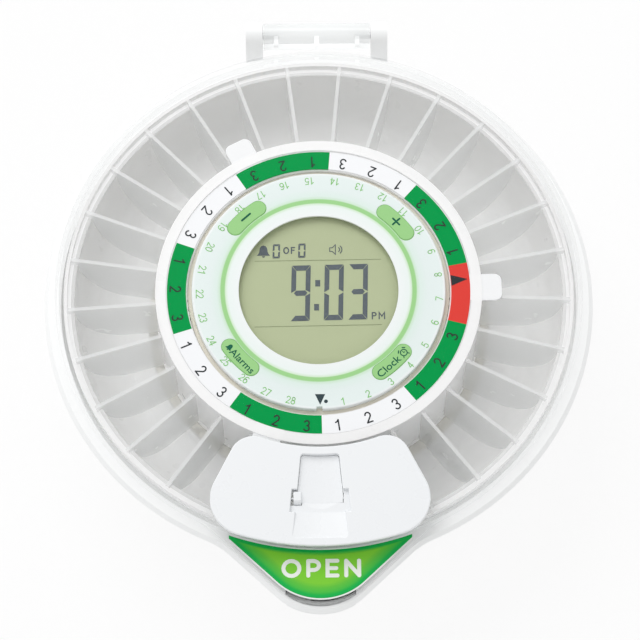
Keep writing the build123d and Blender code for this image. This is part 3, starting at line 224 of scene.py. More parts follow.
lip_profile = [
    (lip_inner, lip_low), (lip_outer - lip_bevel, lip_low), (lip_outer, lip_low + lip_bevel),
    (lip_outer, lip_high - lip_bevel), (lip_outer - lip_bevel, lip_high), (lip_inner, lip_high),
]
revolved("column_lip", lip_profile, "base", column_abs)

# Circuit board: glass-epoxy laminate under a green solder mask, in which the weave shows faintly.
# The buzzer and the switches are dull black mouldings soldered to it.
solder_mask = solid_material(
    "solder_mask_green", "1d6238", roughness=0.3, grain=0.5 * mm, depth=0.01 * mm, drift=0.12,
)
dress(["main_board"], solder_mask)
dark_moulding = solid_material(
    "nylon_black_moulded", "1f1f21", roughness=0.5, grain=0.4 * mm, depth=0.008 * mm, ior=1.53, drift=0.1,
)
dress(["buzzer", "button_switches"], dark_moulding)

# Lock: a sliding bolt moulded in light grey nylon with a fine matt face. It stands in a recess of the
# base's nose and slides into the window of the lid's hook.
lock_nylon = solid_material(
    "nylon_grey_moulded", "eceded", roughness=0.45, grain=0.4 * mm, depth=0.006 * mm, ior=1.53,
)
dress(["lock_slider"], lock_nylon)

# Display: a reflective liquid-crystal glass on a silvered back, khaki with a very fine dull sparkle.
# Its dark marks are the switched segments, which lie in the glass as flat figures with mitred ends.
display_glass = solid_material(
    "lcd_reflective_glass", "bbc49f", roughness=0.4, grain=0.25 * mm, depth=0.003 * mm,
    ior=1.52, drift=0.05, gloss=0.1,
)
dress(["display"], display_glass)
segment_ink = solid_material(
    "lcd_segment_dark", "626a70", roughness=0.5, grain=0.3 * mm, depth=0.001 * mm, drift=0.02, gloss=0.1,
)
faint_ink = solid_material(
    "lcd_line_faint", "8b9475", roughness=0.5, grain=0.3 * mm, depth=0.001 * mm, drift=0.02, gloss=0.1,
)
segment_z = 52.95
display_turn = radians(1.15)
layer_step = 0.008
layer_count = 4


def flat_piece(name, shapes, z, body, material):
    """One mesh of flat shapes at a height in mm. Each shape is an array of corners in mm with its faces.
    Shapes that follow each other lie a hair apart in height, so none shares a plane with the next."""
    corners = np.vstack([points for points, _ in shapes])
    levels = np.concatenate([
        np.full(len(points), z + layer_step * (count % layer_count))
        for count, (points, _) in enumerate(shapes)
    ])
    starts = np.cumsum([0] + [len(points) for points, _ in shapes[:-1]])
    faces = [[int(start + k) for k in face] for start, (_, group) in zip(starts, shapes) for face in group]
    return new_piece(name, np.column_stack([corners, levels]), faces, body, material)


def turned(points, angle):
    """Points turned about the axis, counter-clockwise from above."""
    return points @ np.array([(cos(angle), sin(angle)), (-sin(angle), cos(angle))])


def polygon(*points):
    """One flat face through the given corners, counter-clockwise."""
    return np.array(points, float), [range(len(points))]


cap_steps = 9
arc_steps = 20
round_end = 360 - 360 / arc_steps
mitre_floor_share = 0.4


def stroke(path, width, closed=False):
    """A line of constant width along a path: each point steps half the width to both sides along the
    normal, widened at a corner by the mitre. Open ends get half circles."""
    path = np.array(path, float)
    if closed:
        before, after = np.roll(path, 1, 0), np.roll(path, -1, 0)
    else:
        before, after = np.vstack([path[:1], path[:-1]]), np.vstack([path[1:], path[-1:]])
    run_in, run_out = path - before, after - path
    if not closed:
        run_in[0], run_out[-1] = run_out[0], run_in[-1]
    run_in /= np.linalg.norm(run_in, axis=1, keepdims=True)
    run_out /= np.linalg.norm(run_out, axis=1, keepdims=True)
    middle = run_in + run_out
    middle /= np.linalg.norm(middle, axis=1, keepdims=True)
    normal = np.column_stack([-middle[:, 1], middle[:, 0]])
    mitre = 1 / np.clip((run_in * middle).sum(1, keepdims=True), mitre_floor_share, 1)
    left, right = path + normal * mitre * width / 2, path - normal * mitre * width / 2
    n = len(path)
    points = np.vstack([left, right])
    last = n if closed else n - 1
    faces = [(i, n + i, n + (i + 1) % n, (i + 1) % n) for i in range(last)]
    if closed:
        return points, faces
    turn = np.linspace(0, pi, cap_steps)[1:-1, None]
    for end, way, first, other in ((n - 1, 1, 2 * n - 1, n - 1), (0, -1, 0, n)):
        start = len(points)
        ahead = middle[end] * way
        side = -normal[end] * way
        points = np.vstack([points, path[end] + width / 2 * (np.cos(turn) * side + np.sin(turn) * ahead)])
        faces.append((first, *range(start, len(points)), other))
    return points, faces


def arc(x, y, radius_x, radius_y, start, end):
    """Points on an ellipse about a centre, from one angle in degrees to another. A closed round ends one
    step short of its start."""
    angle = np.radians(np.linspace(start, end, arc_steps))
    return np.column_stack([x + radius_x * np.cos(angle), y + radius_y * np.sin(angle)])


def segment_digit(lit, x, y, width, height, upright, level, gap, slant):
    """Seven mitred bars of a display figure, of which the lit ones are kept, leaning by the slant. The
    upright bars and the level ones have widths of their own."""
    half = height / 2
    inner = width - upright
    shapes = {
        "a": [(gap, height), (upright, height - level), (inner, height - level), (width - gap, height)],
        "d": [(gap, 0), (width - gap, 0), (inner, level), (upright, level)],
        "g": [
            (gap + upright / 2, half), (upright + gap / 2, half - level / 2),
            (inner - gap / 2, half - level / 2), (width - gap - upright / 2, half),
            (inner - gap / 2, half + level / 2), (upright + gap / 2, half + level / 2),
        ],
        "f": [
            (0, height - gap), (0, half + gap), (upright, half + level / 2 + gap),
            (upright, height - level - gap),
        ],
        "e": [(0, gap), (upright, level + gap), (upright, half - level / 2 - gap), (0, half - gap)],
    }
    shapes["b"] = [(width - px, py) for px, py in reversed(shapes["f"])]
    shapes["c"] = [(width - px, py) for px, py in reversed(shapes["e"])]
    kept = []
    for name in lit:
        points = np.array(shapes[name])
        points = np.column_stack([x + points[:, 0] + slant * points[:, 1], y + points[:, 1]])
        kept.append((turned(points, display_turn), [range(len(points))]))
    return kept


lean = tan(radians(2.6))
figures = []
time_size = {"width": 6.6, "height": 20.6, "upright": 1.65, "level": 1.95, "gap": 0.14}
count_size = {"width": 2.5, "height": 5.3, "upright": 0.62, "level": 0.7, "gap": 0.1}
time_base = -10.6
count_base = 12.9
for lit, figure_x in (("abcdfg", -9.95), ("abcdef", 1.5), ("abcdg", 9.85)):
    figures += segment_digit(lit, figure_x, time_base, **time_size, slant=lean)
for figure_x in (-15.6, -6.75):
    figures += segment_digit("abcdef", figure_x, count_base, **count_size, slant=lean)
colon_half_x, colon_half_y = 0.85, 1.2
for dot_x, dot_y in ((-0.28, 3.2), (-0.72, -5.7)):
    left, right = dot_x - colon_half_x, dot_x + colon_half_x
    low, high = dot_y - colon_half_y, dot_y + colon_half_y
    figures.append(polygon((left, low), (right, low), (right, high), (left, high)))
capitals = {
    "P": [[(0, 0), (0, 1)], np.vstack([[(0, 1)], arc(0.28, 0.75, 0.27, 0.25, 90, -90), [(0, 0.5)]])],
    "M": [[(0, 0), (0, 1), (0.4, 0.4), (0.8, 1), (0.8, 0)]],
    "O": [arc(0.36, 0.5, 0.38, 0.5, 90, 450)],
    "F": [[(0, 0), (0, 1), (0.5, 1)], [(0, 0.52), (0.42, 0.52)]],
}
capital_weight = 0.46
for letter, letter_x, letter_y, letter_height in (
    ("P", 18.4, -10.15, 2.3), ("M", 20.75, -10.1, 2.3), ("O", -11.9, 14.45, 2.15), ("F", -9.3, 14.5, 2.15),
):
    for path in capitals[letter]:
        figures.append(stroke(np.array(path) * letter_height + [letter_x, letter_y], capital_weight))

bell_rows = 14
mouth_level, crown_level = 0.16, 0.6
crown_half = 0.3
flare, flare_power = 0.2, 1.9
clapper_radius = 0.12


def bell(x, y, height):
    """A bell's outline as two sides mirrored about its middle: a half-ellipse crown over a skirt that
    flares with a power of the depth, and a round clapper below. The sizes are shares of its height."""
    level = np.linspace(mouth_level, 1, bell_rows)
    rise = (level - crown_level) / (1 - crown_level)
    fall = (crown_level - level) / (crown_level - mouth_level)
    crown = crown_half * np.sqrt(np.clip(1 - rise ** 2, 0, 1))
    skirt = crown_half + flare * np.clip(fall, 0, 1) ** flare_power
    side = np.where(level > crown_level, crown, skirt)
    outline = np.vstack([np.column_stack([side, level]), np.column_stack([-side[::-1], level[::-1]])[1:]])
    clapper = arc(0, clapper_radius, clapper_radius, clapper_radius, 180, 360)
    return [(part * height + [x, y], [range(len(part))]) for part in (outline, clapper)]


bell_place = (-19.0, 12.9)
bell_height = 4.6
figures += bell(*bell_place, bell_height)
speaker_place = np.array([3.95, 13.75])
speaker_size = 4.0
cone_weight, wave_weight = 0.3, 0.36
cone = np.array([(0, 0.33), (0, 0.67), (0.22, 0.67), (0.5, 0.95), (0.5, 0.05), (0.22, 0.33)])
figures.append(stroke(cone * speaker_size + speaker_place, cone_weight, closed=True))
for wave_radius in (0.24, 0.44):
    wave = arc(0.62, 0.5, wave_radius, wave_radius, -48, 48)
    figures.append(stroke(wave * speaker_size + speaker_place, wave_weight))
flat_piece("display_figures", figures, segment_z, "base", segment_ink)
rule_weight = 0.2
rule_ends = [((-22.0, 11.6), (21.6, 12.0)), ((-22.0, -12.8), (21.6, -12.25))]
rules = [stroke(ends, rule_weight) for ends in rule_ends]
flat_piece("display_rules", rules, segment_z, "base", faint_ink)

# Control panel: a glossy white moulding printed from above with a pale mint ground, a bright white disc
# round the window, and a soft-edged light green ring. The ink is flush, so only the colour changes.
ring_line_inner = 32.3
ring_line_outer = 33.7
ring_line_blur = 0.15


def print_radius(tree, place):
    """Distance from the dial's axis in metres."""
    parts = add_node(tree, "ShaderNodeSeparateXYZ", Vector=place).outputs
    flat = add_node(tree, "ShaderNodeCombineXYZ", X=parts[0], Y=parts[1]).outputs[0]
    return add_node(tree, "ShaderNodeVectorMath", {"operation": "LENGTH"}, _0=flat).outputs["Value"]


def ramp(tree, fac, stops, interpolation="LINEAR"):
    """Colour bands from pairs of a place from 0 to 1 and a hex colour."""
    node = add_node(tree, "ShaderNodeValToRGB", Fac=fac)
    band = node.color_ramp
    band.interpolation = interpolation
    while len(band.elements) < len(stops):
        band.elements.new(1.0)
    for element, (place, code) in zip(band.elements, stops):
        element.position = place
        element.color = linear(code)
    return node.outputs[0]


panel_print, output, place = new_material("abs_white_pad_printed")
tree = panel_print.node_tree
reach = 45 * mm
share = add_node(
    tree, "ShaderNodeMath", {"operation": "DIVIDE"}, _0=print_radius(tree, place), _1=reach,
).outputs[0]
bands = [
    (27.4, "f2f6f6"), (31.2, "edf5f2"), (ring_line_inner - ring_line_blur, "d4ebce"),
    (ring_line_inner, "9fd48e"), (ring_line_outer, "9fd48e"), (ring_line_outer + ring_line_blur, "cfe8cf"),
    (35.0, "e0efe8"), (37.5, "e6f0ee"), (42.6, "e8f2f0"), (43.3, "f2f6f6"),
]
print_colour = ramp(tree, share, [(radius * mm / reach, code) for radius, code in bands])
rough, bump = worked(tree, place, roughness=0.3, spread=0.04, grain=0.8 * mm, depth=0.002 * mm)
coat(tree, output, print_colour, rough, bump, ior=1.53, gloss=0.2)
dress(["control_panel"], panel_print)

figure_width = 0.56
figure_pitch = 0.68
figure_strokes = {
    "0": [arc(0.28, 0.5, 0.25, 0.47, 90, 450)],
    "1": [np.array([(0.1, 0.74), (0.24, 0.8), (0.33, 0.95)]), np.array([(0.35, 0.0), (0.35, 0.97)])],
    "2": [
        np.vstack([arc(0.28, 0.7, 0.23, 0.27, 165, -35), [(0.04, 0.03)]]),
        np.array([(0.04, 0.03), (0.53, 0.03)]),
    ],
    "3": [arc(0.27, 0.74, 0.21, 0.23, 155, -85), arc(0.27, 0.265, 0.24, 0.245, 85, -155)],
    "4": [
        np.array([(0.4, 0.0), (0.4, 0.96)]), np.array([(0.38, 0.94), (0.03, 0.27)]),
        np.array([(0.03, 0.27), (0.54, 0.27)]),
    ],
    "5": [np.vstack([[(0.5, 0.96), (0.14, 0.96), (0.08, 0.52)], arc(0.26, 0.31, 0.25, 0.29, 125, -150)])],
    "6": [arc(0.28, 0.3, 0.24, 0.28, 90, 450), arc(0.34, 0.5, 0.3, 0.47, 55, 188)],
    "7": [np.array([(0.04, 0.96), (0.52, 0.96)]), np.array([(0.52, 0.96), (0.2, 0.0)])],
    "8": [arc(0.28, 0.745, 0.2, 0.215, 90, 450), arc(0.28, 0.27, 0.24, 0.25, 90, 450)],
    "9": [arc(0.28, 0.68, 0.24, 0.28, 90, 450), arc(0.22, 0.48, 0.3, 0.47, -125, 8)],
}


def figures_at(text, radius, angle, height, weight):
    """Figures written about a point of the dial with their tops towards the axis. The angle runs
    counter-clockwise from the nose, in radians."""
    shapes = []
    for count, figure in enumerate(text):
        shift = (count - (len(text) - 1) / 2) * figure_pitch * height - figure_width / 2 * height
        for path in figure_strokes[figure]:
            points, faces = stroke(path * height, weight)
            shapes.append((dial_place(points + [shift, -height / 2], radius, angle), faces))
    return shapes


def dial_place(points, radius, angle):
    """Moves points from the middle of a caption to its place on the dial, tops towards the axis."""
    return turned(points + [0, -radius], angle)


panel_z = 55.43
day_ink = solid_material(
    "ink_light_green", "86c873", roughness=0.45, grain=0.5 * mm, depth=0.001 * mm, gloss=0.15,
)
mark_ink = solid_material(
    "ink_slate", "35454a", roughness=0.45, grain=0.5 * mm, depth=0.001 * mm, gloss=0.15,
)
days = 28
cells = 29
panel_turn = radians(-1.7)
number_radius = 41.2
number_height = 2.55
number_weight = 0.29
# The print sits a little off the moulding's centre.
number_shift = [0.34, -0.4]
numbers = []
for day in range(1, days + 1):
    day_angle = 2 * pi * day / cells + panel_turn
    numbers += figures_at(str(day), number_radius, day_angle, number_height, number_weight)
numbers = [(points + number_shift, faces) for points, faces in numbers]
flat_piece("panel_numbers", numbers, panel_z, "base", day_ink)
home_arrow = polygon((-1.5, -38.3), (0.25, -42.1), (1.95, -38.3))
home_dot_radius = 0.65
home_dot = polygon(*arc(2.2, -40.9, home_dot_radius, home_dot_radius, 0, round_end))
flat_piece("panel_marks", [home_arrow, home_dot], panel_z, "base", mark_ink)

# Window: a clear polished acrylic disc in the panel's hole. Only its rim and a weak gloss show.
passing_share = 0.22
clear_grain, clear_depth = 6 * mm, 0.01 * mm
clear_drift, clear_cloud = 0.03, 25 * mm


def clear_material(name, code, body_low, body_high, power, roughness, ior=1.49, milky=None):
    """Clear plastic: see-through face on and paler and greyer where it is seen along its wall. The share
    of its own colour rises with a power of the angle, as the light's path through the wall does. Light on
    its way to other pieces passes nearly unweakened. Milky is a function that marks the places made
    whiter: thick places, and for the dividers a painted highlight on their top edges."""
    material, output, place = new_material(name)
    tree = material.node_tree
    edge = add_node(tree, "ShaderNodeLayerWeight", Blend=0.5).outputs["Facing"]
    steep = add_node(tree, "ShaderNodeMath", {"operation": "POWER"}, _0=edge, _1=power).outputs[0]
    body = add_node(tree, "ShaderNodeMapRange", Value=steep, To_Min=body_low, To_Max=body_high).outputs[0]
    if milky:
        thick = milky(tree, place)
        body = add_node(tree, "ShaderNodeMath", {"operation": "MAXIMUM"}, _0=body, _1=thick).outputs[0]
    path = add_node(tree, "ShaderNodeLightPath").outputs
    passing = add_node(
        tree, "ShaderNodeMath", {"operation": "MAXIMUM"},
        _0=path["Is Shadow Ray"], _1=path["Is Diffuse Ray"],
    ).outputs[0]
    weaker = add_node(tree, "ShaderNodeMapRange", Value=passing, To_Min=1.0, To_Max=passing_share).outputs[0]
    body = add_node(tree, "ShaderNodeMath", {"operation": "MULTIPLY"}, _0=body, _1=weaker).outputs[0]
    rough, bump = worked(tree, place, roughness, roughness / 4, clear_grain, clear_depth)
    colour = clouded(tree, place, linear(code), clear_drift, clear_cloud)
    solid = add_node(
        tree, "ShaderNodeBsdfPrincipled", Base_Color=colour, Roughness=rough, IOR=ior, Normal=bump,
    )
    empty = add_node(tree, "ShaderNodeBsdfTransparent", Color=(1, 1, 1, 1))
    blend = add_node(tree, "ShaderNodeMixShader", _0=body, _1=empty.outputs[0], _2=solid.outputs[0])
    tree.links.new(blend.outputs[0], output.inputs["Surface"])
    return material


def beyond(tree, value, edge, share):
    """The share where a value is greater than an edge, and nothing below it."""
    over = add_node(tree, "ShaderNodeMath", {"operation": "GREATER_THAN"}, _0=value, _1=edge).outputs[0]
    return add_node(tree, "ShaderNodeMath", {"operation": "MULTIPLY"}, _0=over, _1=share).outputs[0]


window_acrylic = clear_material(
    "acrylic_clear_polished", "f2f5f4", body_low=0.0, body_high=0.5, power=2.5, roughness=0.06,
)
dress(["display_lens"], window_acrylic)

# Buttons: four soft green caps of satin ABS that stand in slots of the panel and press switches below.
# Each carries a dark teal sign. The two in front also say in a word what they set.
button_abs = solid_material(
    "abs_light_green_satin", "9dd28a", roughness=0.4, grain=0.5 * mm, depth=0.004 * mm, ior=1.53, gloss=0.2,
)
dress(["clock_button", "plus_button", "minus_button", "alarms_button"], button_abs)
teal_ink = solid_material(
    "ink_dark_teal", "126048", roughness=0.45, grain=0.5 * mm, depth=0.001 * mm, gloss=0.15,
)
button_z = 55.63
button_radius = 36.9
button_turn = radians(-2.3)


def on_button(name, shapes, angle):
    """Signs drawn about a button's middle, moved to the button and made one piece that rides on it."""
    turn = radians(angle) + button_turn
    placed = [(dial_place(points, button_radius, turn), faces) for points, faces in shapes]
    flat_piece(name + "_sign", placed, button_z, name, teal_ink)


# A thin soft skin closes the gap round each cap, a little below the tops of the panel and the caps.
cap_half = 2.7
slot_half = 2.95
cap_spread = radians(8.3)
skin_z = 55.3


def slot_outline(half, turn):
    """Corners of a slot along the dial's circle: an arc outside, an arc inside, and a half circle at
    each end, whose points step from the middle by cosine and sine of the angle."""
    way = np.linspace(-cap_spread, cap_spread, arc_steps)
    outer = np.column_stack([(button_radius + half) * np.sin(way), -(button_radius + half) * np.cos(way)])
    inner = np.column_stack([(button_radius - half) * np.sin(-way), -(button_radius - half) * np.cos(way)])
    cap = np.linspace(0, pi, cap_steps)[1:-1, None]
    ends = []
    for end in (1, -1):
        radial = np.array([sin(end * cap_spread), -cos(end * cap_spread)])
        along = np.array([cos(end * cap_spread), sin(end * cap_spread)])
        ends.append(button_radius * radial + half * end * (np.cos(cap) * radial + np.sin(cap) * along))
    return turned(np.vstack([outer, ends[0], inner, ends[1]]), turn)


skins = []
for button_deg in (45, 135, 225, 315):
    inside = slot_outline(cap_half, radians(button_deg) + button_turn)
    outside = slot_outline(slot_half, radians(button_deg) + button_turn)
    n = len(inside)
    faces = [(i, n + i, n + (i + 1) % n, (i + 1) % n) for i in range(n)]
    skins.append((np.vstack([inside, outside]), faces))
skin_film = solid_material(
    "tpe_green_membrane", "93ca80", roughness=0.6, grain=0.5 * mm, depth=0.003 * mm, gloss=0.1,
)
flat_piece("button_membranes", skins, skin_z, "base", skin_film)

minus_half, minus_weight = 1.9, 0.7
plus_half, plus_weight = 1.6, 0.65
minus_sign = [stroke([(-minus_half, 0), (minus_half, 0)], minus_weight)]
plus_sign = [
    stroke([(-plus_half, 0), (plus_half, 0)], plus_weight),
    stroke([(0, -plus_half), (0, plus_half)], plus_weight),
]
on_button("minus_button", minus_sign, 225)
on_button("plus_button", plus_sign, 135)


caption_spread = 0.01
capital_share = 0.729


def lettering(text, size):
    """Outlines of letters in the plain built-in face, filled, with their capitals' height in mm and their
    middle at the origin. The spread thickens the strokes by a share of the face's size."""
    curve = bpy.data.curves.new("letters", "FONT")
    curve.body, curve.size, curve.offset = text, 1.0, caption_spread
    curve.align_x, curve.resolution_u = "CENTER", 3
    holder = bpy.data.objects.new("letters", curve)
    mesh = bpy.data.meshes.new_from_object(holder)
    points = np.empty(len(mesh.vertices) * 3)
    mesh.vertices.foreach_get("co", points)
    points = points.reshape(-1, 3)[:, :2]
    faces = [tuple(face.vertices) for face in mesh.polygons]
    bpy.data.objects.remove(holder)
    return (points - [0, capital_share / 2]) * size / capital_share, faces


def caption(text, height, length, middle):
    """A word set to a cap height and a length in mm, its middle at a place along the button."""
    points, faces = lettering(text, height)
    points[:, 0] -= (points[:, 0].min() + points[:, 0].max()) / 2
    return [(points * [length / np.ptp(points[:, 0]), 1] + [middle, 0], faces)]


alarms_sign = caption("Alarms", height=2.6, length=10.9, middle=1.45) + bell(x=-5.1, y=-1.1, height=2.5)
on_button("alarms_button", alarms_sign, 315)
dial_x = 5.2
dial_radius, dial_weight = 1.15, 0.34
long_hand, short_hand, hand_weight = 0.6, 0.45, 0.26
ear_weight, foot_weight = 0.4, 0.32
dial_rim = arc(dial_x, 0, dial_radius, dial_radius, 0, round_end)
dial_sign = [
    stroke(dial_rim, dial_weight, closed=True),
    stroke([(dial_x, long_hand), (dial_x, 0)], hand_weight),
    stroke([(dial_x, 0), (dial_x + short_hand, 0)], hand_weight),
]
for way in (-1, 1):
    ear = np.array([(way * 0.85, 1.65), (way * 1.5, 1.1)])
    foot = np.array([(way * 0.9, -0.95), (way * 1.25, -1.45)])
    dial_sign.append(stroke(ear + [dial_x, 0], ear_weight))
    dial_sign.append(stroke(foot + [dial_x, 0], foot_weight))
clock_word = caption("Clock", height=2.7, length=9.8, middle=-1.9)
on_button("clock_button", clock_word + dial_sign, 45)

# Tray: a thin ring-shaped trough of frosted clear polypropylene with 29 compartments, moulded in one.
# The dividers are the same plastic. It is milky face on, and greyer where a wall is seen along its length.
# A band along the dividers' top edges is whitened as a painted highlight.
tray_walls = 57.0 * mm
tray_ledge = 85.6 * mm
divider_highlight_height = 52.75 * mm
wall_share = 0.95
ledge_share = 0.65
divider_highlight_share = 0.5


def tray_edges(tree, place):
    """The trough's doubled inner wall and its outer ledge, where the plastic is thick and near white."""
    radius = print_radius(tree, place)
    inner = add_node(tree, "ShaderNodeMath", {"operation": "LESS_THAN"}, _0=radius, _1=tray_walls).outputs[0]
    inner = add_node(tree, "ShaderNodeMath", {"operation": "MULTIPLY"}, _0=inner, _1=wall_share).outputs[0]
    outer = beyond(tree, radius, tray_ledge, ledge_share)
    return add_node(tree, "ShaderNodeMath", {"operation": "MAXIMUM"}, _0=inner, _1=outer).outputs[0]


def divider_tops(tree, place):
    """A painted highlight: the dividers' top edges above a height are made milky white, to stand in for the
    light that they catch.
    """
    height = add_node(tree, "ShaderNodeSeparateXYZ", Vector=place).outputs[2]
    return beyond(tree, height, divider_highlight_height, divider_highlight_share)


tray_plastic = clear_material(
    "polypropylene_frosted", "f8f8f8", body_low=0.4, body_high=0.75, power=1.2, roughness=0.3,
    milky=tray_edges,
)
# The dividers' milky top band is a painted highlight, not thicker plastic.
divider_plastic = clear_material(
    "polypropylene_frosted_thin", "f2f3f3", body_low=0.14, body_high=0.65, power=1.2, roughness=0.25,
    milky=divider_tops,
)
dress(["tray"], tray_plastic)
dress(["tray_dividers"], divider_plastic)

# Dosage ring: a thin printed plastic ring that lies loose on the tray, with three finger tabs.
# Its bands of three compartments are green and white, and two compartments are red for the empty place.
ring_print, output, place = new_material("pvc_sheet_offset_printed")
tree = ring_print.node_tree
parts = add_node(tree, "ShaderNodeSeparateXYZ", Vector=place).outputs
back = add_node(tree, "ShaderNodeMath", {"operation": "MULTIPLY"}, _0=parts[1], _1=-1.0).outputs[0]
angle = add_node(tree, "ShaderNodeMath", {"operation": "ARCTAN2"}, _0=parts[0], _1=back).outputs[0]
ring_turn = radians(0.9)
turns = add_node(
    tree, "ShaderNodeMath", {"operation": "MULTIPLY_ADD"},
    _0=angle, _1=1 / (2 * pi), _2=1 - ring_turn / (2 * pi),
).outputs[0]
round_share = add_node(tree, "ShaderNodeMath", {"operation": "FRACT"}, _0=turns).outputs[0]
white_ink, green_ink, red_ink = "f8f9fb", "009a4b", "e2453d"
starts = [
    (0, white_ink), (3, green_ink), (6, red_ink), (8, green_ink), (11, white_ink), (14, green_ink),
    (17, white_ink), (20, green_ink), (23, white_ink), (26, green_ink),
]
around = ramp(tree, round_share, [(cell / cells, code) for cell, code in starts], "CONSTANT")
band_edge = 52.2 * mm
outside = add_node(
    tree, "ShaderNodeMath", {"operation": "GREATER_THAN"}, _0=print_radius(tree, place), _1=band_edge,
).outputs[0]
ring_colour = add_node(
    tree, "ShaderNodeMix", {"data_type": "RGBA"}, _0=outside, _6=around, _7=linear("f6f7f8"),
).outputs[2]
rough, bump = worked(tree, place, roughness=0.35, spread=0.05, grain=0.8 * mm, depth=0.002 * mm)
coat(tree, output, ring_colour, rough, bump, ior=1.53, gloss=0.05)
dress(["dosage_ring"], ring_print)

ring_z = 54.83
ring_middle = 48.9
dose_ink = solid_material(
    "ink_charcoal", "2b3033", roughness=0.45, grain=0.5 * mm, depth=0.001 * mm, gloss=0.15,
)
dose_height = 3.8
dose_weight = 0.5
# The figures were printed a little off the ring's centre, in another pass than the colours.
dose_shift = [-0.39, -0.62]
dose_turn = radians(0.66)
doses = []
for first, code in starts:
    if code == red_ink:
        continue
    for dose in range(3):
        cell_angle = 2 * pi * (first + dose + 0.5) / cells + ring_turn
        doses += figures_at(str(dose + 1), ring_middle, cell_angle, dose_height, dose_weight)
empty_place = 7.5
empty_angle = 2 * pi * empty_place / cells + ring_turn
pointer = np.array([(-2.0, 2.7), (0.0, -3.0), (2.0, 2.7)])
doses.append((dial_place(pointer, ring_middle, empty_angle), [range(3)]))
doses = [(turned(points, dose_turn) + dose_shift, faces) for points, faces in doses]
flat_piece("ring_figures", doses, ring_z, "tray", dose_ink)

# Lid: one deep moulding of clear polystyrene, polished, that hinges on steel pins and locks at the nose.
# Face on it hardly shows. Its rim and steps are seen along the wall, which draws them as grey-white lines.
hinge_start = 95.5 * mm
hinge_share = 0.6


def hinge_arm(tree, place):
    """The hinge arm and its bar, solid plastic that looks whitish."""
    from_axis = add_node(tree, "ShaderNodeSeparateXYZ", Vector=place).outputs[1]
    return beyond(tree, from_axis, hinge_start, hinge_share)


lid_styrene = clear_material(
    "polystyrene_clear_polished", "fafcfc", body_low=0.0, body_high=0.42, power=2.6, roughness=0.05,
    ior=1.59, milky=hinge_arm,
)
dress(["lid"], lid_styrene)
bpy.context.scene.cycles.transparent_max_bounces = 32

# Hatch frame and flap: glossy white ABS, the frame welded to the lid over its opening.
# The flap turns on a steel pin in the frame's ears. Polished faces give soft wide highlights.
hatch_abs = solid_material(
    "abs_white_hatch", "f1f3f5", roughness=0.28, grain=0.8 * mm, depth=0.002 * mm, ior=1.53, drift=0.012,
)
dress(["hatch_frame", "dispensing_flap"], hatch_abs)

# Nose label: a printed film on the lid's flange, lime in the middle and printed deeper green towards its tip
# and flanks, inside a thin white border, with the word for what the nose does in rounded white letters.
# The darker green along its inner arc is painted shadow of the lid's wall.
film_white = solid_material("film_white_border", "f4f6f4", roughness=0.35, grain=0.6 * mm, depth=0.002 * mm)
dress(["open_label"], film_white)
label_arc = 91.45
label_tip = 21.15
label_tip_y = -86.9
label_flank = 84.65
label_half = 30.6
label_z = 50.13
label_columns = 90
label_rows = 24
flank_turn = acos((label_flank - label_tip) / -label_tip_y)
column = np.linspace(-1, 1, label_columns)[:, None] * label_half
row = np.linspace(0, 1, label_rows)[None, :]
inner_y = -np.sqrt(label_arc ** 2 - column ** 2)
flank_y = (np.abs(column) * sin(flank_turn) - label_flank) / cos(flank_turn)
tip_y = label_tip_y - np.sqrt(np.clip(label_tip ** 2 - column ** 2, 0, None))
outer_y = np.where(np.abs(column) < label_tip * sin(flank_turn), tip_y, flank_y)
outer_y = np.minimum(outer_y, inner_y)
label_x = column + 0 * row
label_y = inner_y + (outer_y - inner_y) * row
grid = np.arange(label_columns * label_rows).reshape(label_columns, label_rows)
cells_of_grid = np.stack([grid[:-1, :-1], grid[:-1, 1:], grid[1:, 1:], grid[1:, :-1]], -1).reshape(-1, 4)
label_points = np.column_stack([label_x.ravel(), label_y.ravel()])
label_green, output, place = new_material("film_green_printed")
tree = label_green.node_tree
edge_read = add_node(tree, "ShaderNodeAttribute", {"attribute_name": "edge_print_and_shadow"}).outputs["Fac"]
label_colour = ramp(tree, edge_read, [
    (0.0, "00ac4e"), (0.14, "10b44a"), (0.3, "48c044"), (0.5, "62c63e"), (0.75, "80d238"), (1.0, "82d636"),
])
rough, bump = worked(tree, place, roughness=0.32, spread=0.05, grain=0.8 * mm, depth=0.002 * mm)
coat(tree, output, label_colour, rough, bump, gloss=0.2)
label_print = flat_piece(
    "open_label_print", [(label_points, cells_of_grid.tolist())], label_z, "lid", label_green,
)
from_arc = np.hypot(label_points[:, 0], label_points[:, 1]) - label_arc
along_flank = np.abs(label_points[:, 0]) * sin(flank_turn) - label_points[:, 1] * cos(flank_turn)
from_flank = label_flank - along_flank
from_tip = label_tip - np.hypot(label_points[:, 0], label_points[:, 1] - label_tip_y)
round_part = np.abs(label_points[:, 0]) < (label_tip_y - label_points[:, 1]) * tan(flank_turn)
from_side = np.where(round_part, from_tip, from_flank)
# Near the inner arc the green darkens as a painted shadow of the lid's wall. Along the flanks and the tip
# the deeper green is the print's own.
arc_shadow_depths, arc_shadow_shares = (0, 1.0, 1.9, 3.0), (0, 0.14, 0.75, 1)
side_depths, side_shares = (0, 1.0, 2.0, 3.6, 5.0, 8.0), (0, 0.14, 0.3, 0.5, 0.75, 1)
edge_print_and_shadow = np.minimum(
    np.interp(from_arc, arc_shadow_depths, arc_shadow_shares), np.interp(from_side, side_depths, side_shares),
)
attribute = label_print.data.attributes.new("edge_print_and_shadow", "FLOAT", "POINT")
attribute.data.foreach_set("value", np.clip(edge_print_and_shadow, 0, 1).astype(np.float32))

letter_ink = solid_material("ink_white_rounded", "f7fbf3", roughness=0.4, grain=0.6 * mm, depth=0.002 * mm)
letter_weight = 1.35
ink_step = 0.03
letter_base = -101.0
letter_top = -94.6
stem = letter_top - letter_base - letter_weight
bowl = np.vstack([[(0, stem)], arc(1.6, 0.69 * stem, 1.95, 0.31 * stem, 90, -90), [(0, 0.38 * stem)]])
